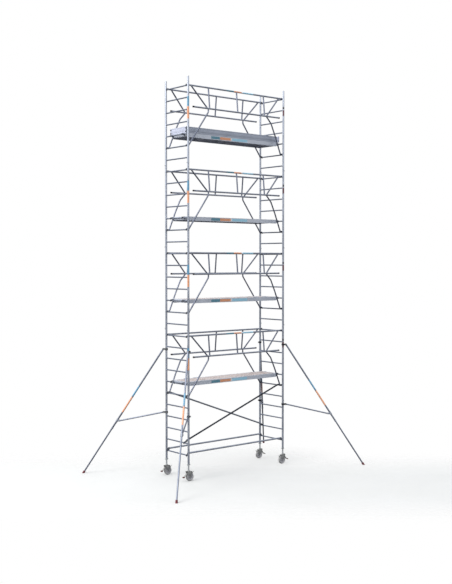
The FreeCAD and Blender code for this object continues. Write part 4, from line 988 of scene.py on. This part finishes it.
def makeToeBoards():
    # each end board runs past one long board and stops at the inner face of the other
    low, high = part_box("toe_boards_long")
    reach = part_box("toe_boards_end")[1].y
    thick = toeBoard["thick"] / 1000
    start, stop = low.x * 1000, (high.x - thick) * 1000
    board = placed(makeBoard(stop - start), shift(start), millimetre)
    boards = copies(board, [shift(0, low.y, low.z), turn(180) @ shift(0, low.y, low.z)])
    piece("toeBoardsLong", boards, toeLongMetal, "tower", ("toe_boards_long",))
    inner = high.y - thick
    board = placed(makeBoard((reach + inner) * 1000), millimetre, turn(90))
    left = shift(low.x + thick, -inner, low.z)
    boards = copies(board, [left, turn(180) @ left])
    piece("toeBoardsEnd", boards, toeEndMetal, "tower", ("toe_boards_end",))
    wide, tall, thin = toeBoard["clipWide"], toeBoard["clipHigh"], toeBoard["clipThick"]
    screws = [hexagon(9, 2.5, (thin - 0.5, y, tall / 2), (1, 0, 0)) for y in (-10, 10)]
    clip = placed(joined(block((0.2, -wide / 2, 0), (thin, wide / 2, tall), 1.6), *screws), millimetre)
    inset = (toeBoard["clipIn"] + wide / 2) / 1000
    moves = []
    for x in (-1, 1):
        for y in (-1, 1):
            across = y * ((high.y if x == y else reach) - inset)
            moves += [shift(x * high.x, across, low.z + rise / 1000) @ turn(0 if x > 0 else 180)
                      for rise in toeBoard["clipRises"]]
    piece("toeBoardClips", copies(clip, moves), blackPlastic, "tower", ("toe_board_clips",))


makeToeBoards()
print("toe boards: grooved and clipped")


# castors, in millimetres from the floor under the spindle

spindle = {"crest": 18.9, "root": 16.4, "pitch": 12, "foot": 254.3, "top": 814.3,
           "kingpin": 8, "kingpinFoot": 221.7}
nut = {"low": 371.7, "high": 399.7, "radius": 27, "bore": 19.05, "earThick": 12}
wheel = {"x": 34, "z": 100, "radius": 100, "half": 25, "rim": 78, "hub": 29, "bore": 8.05, "ribs": 12}
fork = {"inside": 30, "plate": 4, "crownLow": 222, "crownHigh": 232,
        "pivot": (-50, 190), "axle": 8, "boltFlats": 21}


def makeSpindle():
    thread = helix(spindle["crest"], spindle["root"], spindle["pitch"], spindle["foot"] - 1, spindle["top"])
    flange = turned([(0, spindle["foot"] - 8), (28.5, spindle["foot"] - 8), (30, spindle["foot"] - 6.5),
                     (30, spindle["foot"] - 1.5), (28.5, spindle["foot"]), (21, spindle["foot"]),
                     (19, spindle["foot"] + 2.5), (0, spindle["foot"] + 2.5)], steps=40)
    kingpin = rod(spindle["kingpin"], (0, 0, spindle["kingpinFoot"]), (0, 0, spindle["foot"] - 7.9), 0.3, 24)
    lower = hexagon(21, 7, (0, 0, spindle["kingpinFoot"] - 7), (0, 0, 1))
    return joined(thread, flange, kingpin, lower)


def makeNut():
    radius, bore, low, high = nut["radius"], nut["bore"], nut["low"], nut["high"]
    collar = turned([(bore, low + 1.5), (bore + 1.5, low), (radius - 3, low), (radius, low + 3),
                     (radius, low + 9), (radius - 1.2, low + 10.5), (radius - 1.2, high - 8),
                     (radius, high - 6.5), (radius, high - 2), (radius - 2, high), (bore + 1.5, high),
                     (bore, high - 1.5)], steps=44, ring=True)
    ear = [(radius - 3, high - 22), (radius + 6, high - 26), (radius + 13, high - 28)]
    ear += arc(radius + 14.5, high - 17.5, 8.6, -70, 80, 7) + [(radius + 7, high - 8), (radius - 3, high - 7)]
    ears = [placed(plate(ear, nut["earThick"], 3.0, 3), turn(side)) for side in (0, 180)]
    return joined(collar, *ears)


def makeTyre():
    radius, half, rim = wheel["radius"], wheel["half"], wheel["rim"]
    shoulder = [(radius - 10 + 10 * sin(radians(a)), half - 10 + 10 * cos(radians(a)))
                for a in (0, 22, 45, 68, 88)]
    crown = shoulder + [(radius, 6), (radius - 1.2, 5), (radius - 1.2, -5), (radius, -6)]
    crown += [(r, -along) for r, along in reversed(shoulder)]
    profile = [(rim, half - 0.6), (rim + 6, half), (rim + 7, half - 1), (rim + 9, half - 1),
               (rim + 10, half)] + crown
    profile += [(rim + 10, -half), (rim + 9, -half + 1), (rim + 7, -half + 1), (rim + 6, -half),
                (rim, -half + 0.6)]
    return turned(profile, (wheel["x"], 0, wheel["z"]), (0, 1, 0), 72, ring=True)


def makeRim():
    half, rim, hub, bore = wheel["half"], wheel["rim"], wheel["hub"], wheel["bore"]
    side = [(bore, hub), (14, hub), (15, hub - 2), (19, hub - 2), (21, hub), (22, hub - 1), (25, 10), (30, 5),
            (60, 5), (66, 12), (70, half - 1.5), (71.5, half), (rim - 1, half), (rim, half - 1)]
    profile = side + [(radius, -along) for radius, along in reversed(side)]
    web = turned(profile, (wheel["x"], 0, wheel["z"]), (0, 1, 0), 64, ring=True)
    rib = block((24, -17, -2.2), (68, 17, 2.2), 1.0, 1)
    ribs = copies(rib, [shift(wheel["x"], 0, wheel["z"]) @ turn(360 / wheel["ribs"] * step, "Y")
                        for step in range(wheel["ribs"])])
    return joined(web, ribs)


def makeFork():
    inside, thick = fork["inside"], fork["plate"]
    low, high = fork["crownLow"], fork["crownHigh"]
    pivotX, pivotZ = fork["pivot"]
    reach = inside + thick
    cheek = [(pivotX - 12, pivotZ - 8), (pivotX - 13, pivotZ + 1), (pivotX - 9, pivotZ + 9),
             (pivotX, pivotZ + 13), (pivotX + 8, pivotZ + 12), (-34, high - 4), (-30, high), (68, high),
             (72, high - 5), (72, low - 6), (66, 150), (wheel["x"] + 21, wheel["z"] + 4)]
    cheek += arc(wheel["x"], wheel["z"], 20.5, 0, -180, 10) + [(wheel["x"] - 21, wheel["z"] + 4), (-14, 150)]
    shapes = [plate(cheek, thick, 1.1, 2, side * (inside + thick / 2)) for side in (-1, 1)]
    rib = [(-24, 205), (40, 205), (50, 150), (44, 118), (24, 118), (4, 150)]
    shapes += [plate(rib, 2.4, 1.1, 2, side * (reach + 0.4)) for side in (-1, 1)]
    shapes.append(block((-32, -reach, low), (72, reach, high), 3.0, 3))
    shapes.append(turned([(fork["axle"] + 0.1, high - 1), (29, high - 1), (30, high + 1.5), (30, high + 5),
                          (28.4, high + 6), (28.4, high + 8), (30, high + 9), (30, high + 12),
                          (28, high + 14), (fork["axle"] + 0.1, high + 14)], steps=48, ring=True))
    spot = (wheel["x"], wheel["z"])
    shapes.append(rod(fork["axle"], (spot[0], -reach, spot[1]), (spot[0], reach, spot[1]), 0.5, 28))
    for side in (-1, 1):
        shapes.append(turned([(0, 0), (12, 0), (12, 1.6), (0, 1.6)], (spot[0], side * reach, spot[1]),
                             (0, side, 0), 28))
        shapes.append(hexagon(fork["boltFlats"] - 2, 6.4, (spot[0], side * (reach + 1.5), spot[1]),
                              (0, side, 0)))
        shapes.append(turned([(0, 0), (7, 0), (7, 2), (5, 3.6), (0, 3.6)],
                             (pivotX, side * (reach + 0.1), pivotZ), (0, side, 0), 20))
    shapes.append(rod(5, (pivotX, -reach - 1, pivotZ), (pivotX, reach + 1, pivotZ), 0.5, 20))
    tongue = [(66, low + 1), (72, low + 5), (90, low + 5), (95, low + 3), (112, 180), (116, 179), (144, 218),
              (147.5, 218), (149, 215), (116, 172.5), (112, 171), (107, 172), (89, low + 1)]
    shapes.append(plate(tongue, 20, 0.9, 2))
    shapes.append(dome(4, 5, (40, 20, high - 0.3), (0, 0, 1), 14))
    return joined(*shapes)


def makeRocker():
    pivotX, pivotZ = fork["pivot"]
    arm = [(pivotX - 10, pivotZ - 4), (-128, 112), (-124, 104), (pivotX - 2, pivotZ - 12)]
    arm += arc(pivotX, pivotZ, 11, -70, 50, 6) + [(pivotX - 4, pivotZ + 26), (pivotX - 14, pivotZ + 26)]
    cheeks = [plate(arm, 5, 1.0, 2, side * 21) for side in (-1, 1)]
    floor = block((-3, -19, -3.2), (90, 19, 0), 1.0, 1)
    slope = atan2(112 - pivotZ + 4, -128 - pivotX + 10)
    tread = placed(floor, Matrix.Rotation(-slope, 4, "Y"), shift(pivotX - 12, 0, pivotZ - 8))
    hub = pipe(11, 5.1, (pivotX, -24, pivotZ), (pivotX, 24, pivotZ), 0.8, 28)
    return joined(*cheeks, tread, hub)


def makePedalPad():
    outline = [(-126, 113), (-131, 119), (-162, 107.5), (-168, 104), (-170.5, 99.5), (-169, 95), (-166, 91.5),
               (-153, 88), (-123, 104)]
    shape = plate(outline, 56, 3.4, 4)
    ridge = block((-1.6, -24, 0), (1.6, 24, 2.6), 0.9, 1)
    ridges = copies(ridge, [shift(-137 - 6.4 * step, 0, 116.2 - 2.4 * step) @ turn(-21, "Y")
                            for step in range(5)])
    return joined(shape, ridges)


def makeReleasePad():
    pivotX, pivotZ = fork["pivot"]
    outline = [(pivotX - 13, pivotZ + 24), (pivotX - 22, pivotZ + 26), (pivotX - 25, pivotZ + 30),
               (pivotX - 25.5, pivotZ + 40)]
    outline += arc(pivotX - 15, pivotZ + 40, 10, 170, 90, 5) + arc(pivotX - 8, pivotZ + 40, 10, 80, 0, 5)
    outline += [(pivotX - 3, pivotZ + 24)]
    return plate(outline, 44, 3.0, 4)


def castorMove(corner):
    spot = cornerSpot[corner]
    return shift(spot.x, spot.y) @ turn(180 if spot.x > 0 else 0)


def makeCastors():
    parts = (("castor_spindle", "castorSpindle", makeSpindle, zincMetal, "zinc_steel"),
             ("adjusting_nut", "adjustingNut", makeNut, zincMetal, "zinc_steel"),
             ("castor_fork", "castorFork", makeFork, forkMetal, "zinc_steel"),
             ("castor_wheel", "castorTyre", makeTyre, tyrePlastic, "grey_wheel"),
             ("castor_wheel", "castorRim", makeRim, rimPlastic, "grey_wheel"),
             ("brake_pedal", "brakeRocker", makeRocker, forkMetal, "zinc_steel"),
             ("brake_pedal", "brakePad", makePedalPad, pedalRed, "pedal_red"),
             ("brake_pedal", "releasePad", makeReleasePad, blackPlastic, "black_plastic"))
    cornerParts(parts, castorMove)


makeCastors()
print("castors:", len(corners), "of them, on threaded spindles")


# stabilizers, in millimetres from the floor under the upright, with the leg towards +X

brace = {"clamps": (3055, 1525), "clampHigh": 46, "clampRadius": 37, "clampBore": 25.3, "pivot": 78,
         "foot": 2060, "legRadius": 21, "legWall": 2.5, "outerEnd": 2330, "innerRadius": 18.4,
         "innerStart": 1480, "capRadius": 27, "cap": 66, "station": 2080, "armRadius": 17, "armWall": 2.5,
         "armOverrun": 14}
legTop = Vector((brace["pivot"], 0, brace["clamps"][0]))
legWay = (Vector((brace["foot"], 0, 0)) - legTop).normalized()
legLength = (Vector((brace["foot"], 0, 0)) - legTop).length
armEnd = legTop + legWay * brace["station"] - Vector((62, 0, 10))
armStart = Vector((brace["pivot"], 0, brace["clamps"][1]))


def onLeg(distance):
    return legTop + legWay * distance


def makeCollars():
    shapes = []
    half = brace["clampHigh"] / 2
    bore, radius = brace["clampBore"], brace["clampRadius"]
    for height in brace["clamps"]:
        shapes.append(turned([(bore, -half + 1), (bore + 1, -half), (radius - 3, -half), (radius, -half + 3),
                              (radius, -8), (radius - 1.5, -6), (radius - 1.5, 6), (radius, 8),
                              (radius, half - 3), (radius - 3, half), (bore + 1, half), (bore, half - 1)],
                             (0, 0, height), (0, 0, 1), 48, ring=True))
        for side in (-1, 1):
            ear = [(28, -20), (88, -20), (94, -14), (94, 14), (88, 20), (28, 20)]
            shapes.append(placed(plate(ear, 7, 1.6, 2, side * 25.5), shift(z=height)))
            gusset = [(24, -16), (34, -16), (34, 16), (24, 16)]
            shapes.append(placed(plate(gusset, 6, 1.4, 2, side * 21), shift(z=height)))
        shapes.append(block((-12, radius - 3, height - 16), (-2, radius + 18, height + 16), 2.0))
        shapes.append(block((2, radius - 3, height - 16), (12, radius + 18, height + 16), 2.0))
    shapes.append(turned([(0, 0), (21.5, 0), (21.5, 3), (19, 6), (0, 6)], onLeg(-18), -legWay, 32))
    return joined(*shapes)


def makeBracket():
    # the collar on the leg that takes the arm, and the sleeve that locks the inner leg
    shapes = []
    ring = brace["legRadius"] + 7
    start, end = onLeg(brace["station"] - 40), onLeg(brace["station"] + 40)
    shapes.append(pipe(ring, brace["legRadius"] + 0.1, start, end, 2.0, 40))
    for side in (-1, 1):
        ear = [(armEnd.x - 12, armEnd.z - 18), (armEnd.x + 40, armEnd.z - 18), (armEnd.x + 50, armEnd.z - 10),
               (armEnd.x + 38, armEnd.z + 18), (armEnd.x - 12, armEnd.z + 18), (armEnd.x - 16, armEnd.z + 12),
               (armEnd.x - 16, armEnd.z - 12)]
        shapes.append(plate(ear, 6, 1.4, 2, side * 24))
    sleeve = onLeg(brace["outerEnd"])
    shapes.append(pipe(25, 18.6, sleeve - legWay * 34, sleeve + legWay * 4, 1.6, 40))
    return joined(*shapes)


def makeBolts():
    shapes = []
    lugY = brace["clampRadius"] + 10
    for height in brace["clamps"]:
        shapes.append(rod(6, (-15, lugY, height), (58, lugY, height), 1.0, 22))
        shapes.append(hexagon(18, 7, (-12, lugY, height), (-1, 0, 0)))
        wing = [(-14, -4), (-14, 3), (-8, 5), (-4, 3), (4, 3), (8, 5), (14, 3), (14, -4), (8, -5), (-8, -5)]
        shapes.append(placed(plate([(x * 1.15, z) for x, z in wing], 8, 1.8, 3), turn(90),
                             shift(62, lugY, height)))
        shapes.append(rod(9, (46, lugY, height), (60, lugY, height), 1.2, 22))
    pins = [(brace["pivot"], height) for height in brace["clamps"]] + [(armEnd.x, armEnd.z)]
    for x, z in pins:
        shapes.append(rod(5, (x, -33, z), (x, 33, z), 0.5, 20))
        for side in (-1, 1):
            shapes.append(hexagon(16, 5.5, (x, side * 29.2, z), (0, side, 0)))
    return joined(*shapes)


def makeOuterLeg():
    radius, wall = brace["legRadius"], brace["legWall"]
    return pipe(radius, radius - wall, onLeg(-18), onLeg(brace["outerEnd"]), 0.4, 40)


def makeArm():
    radius, wall = brace["armRadius"], brace["armWall"]
    overrun = (armEnd - armStart).normalized() * brace["armOverrun"]
    return pipe(radius, radius - wall, armStart - overrun, armEnd + overrun, 0.6, 36)


def makeInnerLeg():
    radius, wall = brace["innerRadius"], brace["legWall"]
    return pipe(radius, radius - wall, onLeg(brace["innerStart"]), onLeg(legLength - brace["cap"] + 20),
                0.4, 36)


def makeFootCap():
    # a ribbed rubber boot, cut level with the floor
    radius, start = brace["capRadius"], legLength - brace["cap"]
    profile = [(0, 0), (radius - 5, 0), (radius - 3, 1), (radius - 2, 4)]
    for step in range(4):
        profile += [(radius - 2, 8 + 11 * step), (radius, 10 + 11 * step), (radius, 15 + 11 * step),
                    (radius - 2, 17 + 11 * step)]
    profile += [(radius - 0.5, 54), (radius, 56), (radius, 130), (0, 130)]
    cap = turned(profile, onLeg(start), legWay, 44)
    bmesh.ops.bisect_plane(cap, geom=cap.verts[:] + cap.edges[:] + cap.faces[:], dist=1e-4,
                           plane_co=(0, 0, 0), plane_no=(0, 0, -1), clear_outer=True)
    bmesh.ops.holes_fill(cap, edges=[edge for edge in cap.edges if edge.is_boundary], sides=0)
    return outward(cap)


def stabilizerMove(corner):
    spot = cornerSpot[corner]
    foot = middle("stabilizer_foot_" + corner)
    return shift(spot.x, spot.y) @ Matrix.Rotation(atan2(foot.y - spot.y, foot.x - spot.x), 4, "Z")


def makeStabilizers():
    parts = (("stabilizer", "stabilizerTube", makeOuterLeg, tubeLegs, "aluminium_tube"),
             ("stabilizer", "stabilizerArm", makeArm, tubeLegs, "aluminium_tube"),
             ("stabilizer", "stabilizerBracket", makeBracket, bracketMetal, "cast_aluminium"),
             ("stabilizer", "stabilizerCollars", makeCollars, blackPlastic, "black_plastic"),
             ("stabilizer", "stabilizerBolts", makeBolts, zincMetal, "zinc_steel"),
             ("stabilizer_foot", "stabilizerInnerTube", makeInnerLeg, tubeLegs, "aluminium_tube"),
             ("stabilizer_foot", "stabilizerBoot", makeFootCap, footRubber, "red_rubber"))
    cornerParts(parts, stabilizerMove)


makeStabilizers()
print("stabilizers:", len(corners), "of them, with clamps, arms and boots")


# labels: plain bands of coloured film, with no lettering

film = 0.0004


def tubeLabel(radius, start, end, facing, spread):
    # a curved patch on a tube from start to end, turned towards facing
    way = (Vector(end) - Vector(start)).normalized()
    out = Vector(facing)
    out = (out - way * out.dot(way)).normalized()
    shape = bmesh.new()
    first = [shape.verts.new(Vector(spot) + out * (radius + film)) for spot in (start, end)]
    shape.edges.new(first)
    bmesh.ops.rotate(shape, cent=start, matrix=Matrix.Rotation(-radians(spread / 2), 3, way),
                     verts=shape.verts)
    bmesh.ops.spin(shape, geom=shape.verts[:] + shape.edges[:], cent=start, axis=way, dvec=(0, 0, 0),
                   angle=radians(spread), steps=14, use_merge=False, use_duplicate=False)
    bmesh.ops.remove_doubles(shape, verts=shape.verts, dist=1e-6)
    for face in shape.faces:
        face.normal_update()
    if shape.faces[:][0].normal.dot(shape.faces[:][0].calc_center_median() - Vector(start)) < 0:
        bmesh.ops.reverse_faces(shape, faces=shape.faces)
    bmesh.ops.solidify(shape, geom=shape.faces[:], thickness=film)
    bmesh.ops.recalc_face_normals(shape, faces=shape.faces)
    return shape


def flatLabel(low, high):
    return block(low, high, film * 0.4, 1)


frameLabel = {"blue": (0.26, 0.49), "orange": (0.50, 0.78), "blueInShade": (0.20, 0.25), "orangeInShade": (0.28, 0.42),
              "spread": 150}
# near_right and far_left wear the blue and orange bands in painted shade, as the two dark films
frameBands = (("near_left", ("blue", "orange"), (-0.8, -1, 0)),
              ("far_right", ("blue", "orange"), (0.8, 1, 0)), ("near_right", ("blueInShade", "orangeInShade"), (0, -1, 0)),
              ("far_left", ("blueInShade", "orangeInShade"), (0.1, 1, 0)))
railLabel = {"teal": (-0.327, -0.093), "orange": (-0.091, 0.148), "white": (0.150, 0.195),
             "cyan": (0.197, 0.537)}
deckLabel = {"teal": (-0.713, -0.440), "orange": (-0.437, -0.100), "white": (-0.098, -0.054),
             "cyan": (-0.052, 0.435), "height": (-0.045, 0.018)}
legLabel = {"blue": (0.66, 0.82), "orange": (0.84, 1.08)}


def makeLabels():
    patches = {name: [] for name in labels}
    radius = ladder["uprightRadius"]
    for rung in frameTops[1:]:
        top = rungHeight(rung - 1)
        for corner, tints, facing in frameBands:
            spot = cornerSpot[corner]
            for tint in tints:
                near, far = frameLabel[tint]
                patches[tint].append(tubeLabel(radius, (spot.x, spot.y, top - far),
                                               (spot.x, spot.y, top - near), facing, frameLabel["spread"]))
    for number in tower["guardRungs"]:
        for side in (-1, 1):
            height = rungHeight(number) + guard["railRise"]
            for tint, (start, end) in railLabel.items():
                patches[tint].append(tubeLabel(guard["railRadius"],
                                               (-side * start, side * guardAcross, height),
                                               (-side * end, side * guardAcross, height), (0, side, 0.2),
                                               150))
    edge = deck["edge"] / 1000
    for number in tower["platformRungs"]:
        height = rungHeight(number)
        for side in (-1, 1):
            for tint in ("teal", "orange", "white", "cyan"):
                start, end = sorted(-side * value for value in deckLabel[tint])
                bottom, top = (height + value for value in deckLabel["height"])
                ys = sorted((side * (edge - 0.0002), side * (edge + film)))
                patches[tint].append(flatLabel((start, ys[0], bottom), (end, ys[1], top)))
    for tint, shapes in patches.items():
        if shapes:
            piece(f"labels_{tint}", joined(*shapes), labels[tint], "tower")
    for corner in corners:
        for tint, reaches in legLabel.items():
            start, end = (legTop + legWay * ((reach * 1000 - brace["pivot"]) / legWay.x) for reach in reaches)
            halves = [tubeLabel(brace["legRadius"] / 1000, start / 1000, end / 1000, (0.3, side, 0.6), 160)
                      for side in (-1, 1)]
            piece(f"legLabel_{tint}_{corner}", placed(joined(*halves), stabilizerMove(corner)), labels[tint],
                  "stabilizer_" + corner)


makeLabels()
print("labels: plain bands on the uprights, rails, platforms and legs")


# studio

studio = {"floorRadius": 18.0, "floorColour": "dbdad6", "floorBounce": "4a4c52", "skyLow": 0.12,
          "skyHorizon": 0.35, "skyTop": 0.85, "skyLeft": 1.15, "skyNear": 0.3, "skyFar": 0.55,
          "keyPower": 2600.0, "keySize": 9.0, "cameraSpot": (-15.096, -17.971, 5.176),
          "cameraHeading": 40.015, "cameraDip": 1.855, "lens": 58.32, "keySpot": (-17, 0, 18),
          "keyTarget": (0, 0, 4)}
awayFromCamera = Vector((-studio["cameraSpot"][0], -studio["cameraSpot"][1], 0)).normalized()


def softRamp(tree, value, low, high):
    node = addNode(tree, "ShaderNodeMapRange", {"Value": value, "From Min": low, "From Max": high},
                   interpolation_type="SMOOTHSTEP")
    return node.outputs["Result"]


def makeFloor():
    shape = bmesh.new()
    bmesh.ops.create_circle(shape, cap_ends=True, segments=96, radius=studio["floorRadius"])
    mesh = bpy.data.meshes.new("floor")
    shape.to_mesh(mesh)
    shape.free()
    material, tree, shader, place = newMaterial("paleFloor")
    tone = effect(tree, "mottle", Vector=place, Scale=0.4)
    pale = blended(tree, sums(tree, "MULTIPLY", tone, 0.1), colour(studio["floorColour"]), colour("ffffff"))
    # painted shade: every ray but the camera's sees the floor in the dark floorBounce colour, which darkens
    # the tower's undersides
    seen = addNode(tree, "ShaderNodeLightPath").outputs["Is Camera Ray"]
    tree.links.new(blended(tree, seen, colour(studio["floorBounce"]), pale), shader.inputs["Base Color"])
    shader.inputs["Roughness"].default_value = 0.9
    # painted shadow: the floor shows grey in a broad band under the tower, as a soft shadow, and fades to
    # white in front of it and behind
    depth = addNode(tree, "ShaderNodeVectorMath", {0: place, 1: awayFromCamera}, operation="DOT_PRODUCT")
    depth = depth.outputs["Value"]
    reach = addNode(tree, "ShaderNodeVectorMath", {0: place}, operation="LENGTH").outputs["Value"]
    front = softRamp(tree, depth, -5.0, -2.9)
    back = softRamp(tree, depth, 2.0, -1.1)
    wide = ramped(tree, reach, 7.0, studio["floorRadius"], 1.0, 0.5)
    under = softRamp(tree, reach, 4.0, 1.6)
    band = sums(tree, "MULTIPLY", sums(tree, "MULTIPLY", front, back), wide)
    tree.links.new(sums(tree, "MAXIMUM", band, sums(tree, "MULTIPLY", under, 0.5)), shader.inputs["Alpha"])
    mesh.materials.append(material)
    floor = bpy.data.objects.new("floor", mesh)
    bpy.context.scene.collection.objects.link(floor)


def makeSky():
    world = bpy.data.worlds.new("studio")
    bpy.context.scene.world = world
    world.use_nodes = True
    tree = world.node_tree
    tree.nodes.clear()
    way = tree.nodes.new("ShaderNodeTexCoord").outputs["Generated"]
    part = addNode(tree, "ShaderNodeSeparateXYZ", {0: way})
    x, y, z = (part.outputs[axis] for axis in "XYZ")
    far = addNode(tree, "ShaderNodeVectorMath", {0: way, 1: awayFromCamera}, operation="DOT_PRODUCT")
    above = ramped(tree, z, -0.04, 0.08)
    glows = (sums(tree, "MULTIPLY", above,
                  ramped(tree, z, 0.0, 0.9, studio["skyHorizon"], studio["skyTop"])),
             sums(tree, "MULTIPLY", ramped(tree, z, 0.0, 0.3),
                  ramped(tree, x, -0.2, -0.9, 0.0, studio["skyLeft"])),
             sums(tree, "MULTIPLY", above, ramped(tree, y, -0.3, -0.9, 0.0, studio["skyNear"])),
             sums(tree, "MULTIPLY", ramped(tree, z, -0.35, -0.1),
                  ramped(tree, far.outputs["Value"], 0.6, 0.95, 0.0, studio["skyFar"])))
    strength = studio["skyLow"]
    for glow in glows:
        strength = sums(tree, "ADD", glow, strength)
    lit = addNode(tree, "ShaderNodeBackground", {"Color": (0.92, 0.95, 1.0, 1.0), "Strength": strength})
    back = addNode(tree, "ShaderNodeBackground", {"Color": (1, 1, 1, 1), "Strength": 1.0})
    seen = tree.nodes.new("ShaderNodeLightPath").outputs["Is Camera Ray"]
    mix = tree.nodes.new("ShaderNodeMixShader")
    tree.links.new(seen, mix.inputs[0])
    tree.links.new(lit.outputs[0], mix.inputs[1])
    tree.links.new(back.outputs[0], mix.inputs[2])
    tree.links.new(mix.outputs[0], tree.nodes.new("ShaderNodeOutputWorld").inputs["Surface"])


def makeLight(name, spot, target, power, size):
    light = bpy.data.lights.new(name, "AREA")
    light.energy = power
    light.shape = "SQUARE"
    light.size = size
    thing = bpy.data.objects.new(name, light)
    thing.location = spot
    thing.rotation_euler = (Vector(target) - Vector(spot)).to_track_quat("-Z", "Y").to_euler()
    bpy.context.scene.collection.objects.link(thing)


def makeCamera():
    camera = bpy.data.objects.new("camera", bpy.data.cameras.new("camera"))
    camera.location = studio["cameraSpot"]
    camera.rotation_euler = (radians(90 - studio["cameraDip"]), 0, -radians(studio["cameraHeading"]))
    camera.data.lens = studio["lens"]
    camera.data.sensor_width = 36
    camera.data.clip_end = 400
    bpy.context.scene.collection.objects.link(camera)
    bpy.context.scene.camera = camera


makeFloor()
makeSky()
makeLight("keyLight", studio["keySpot"], studio["keyTarget"], studio["keyPower"], studio["keySize"])
makeCamera()
bpy.context.scene.view_settings.view_transform = "Standard"
print("studio: floor, sky, lights and camera")
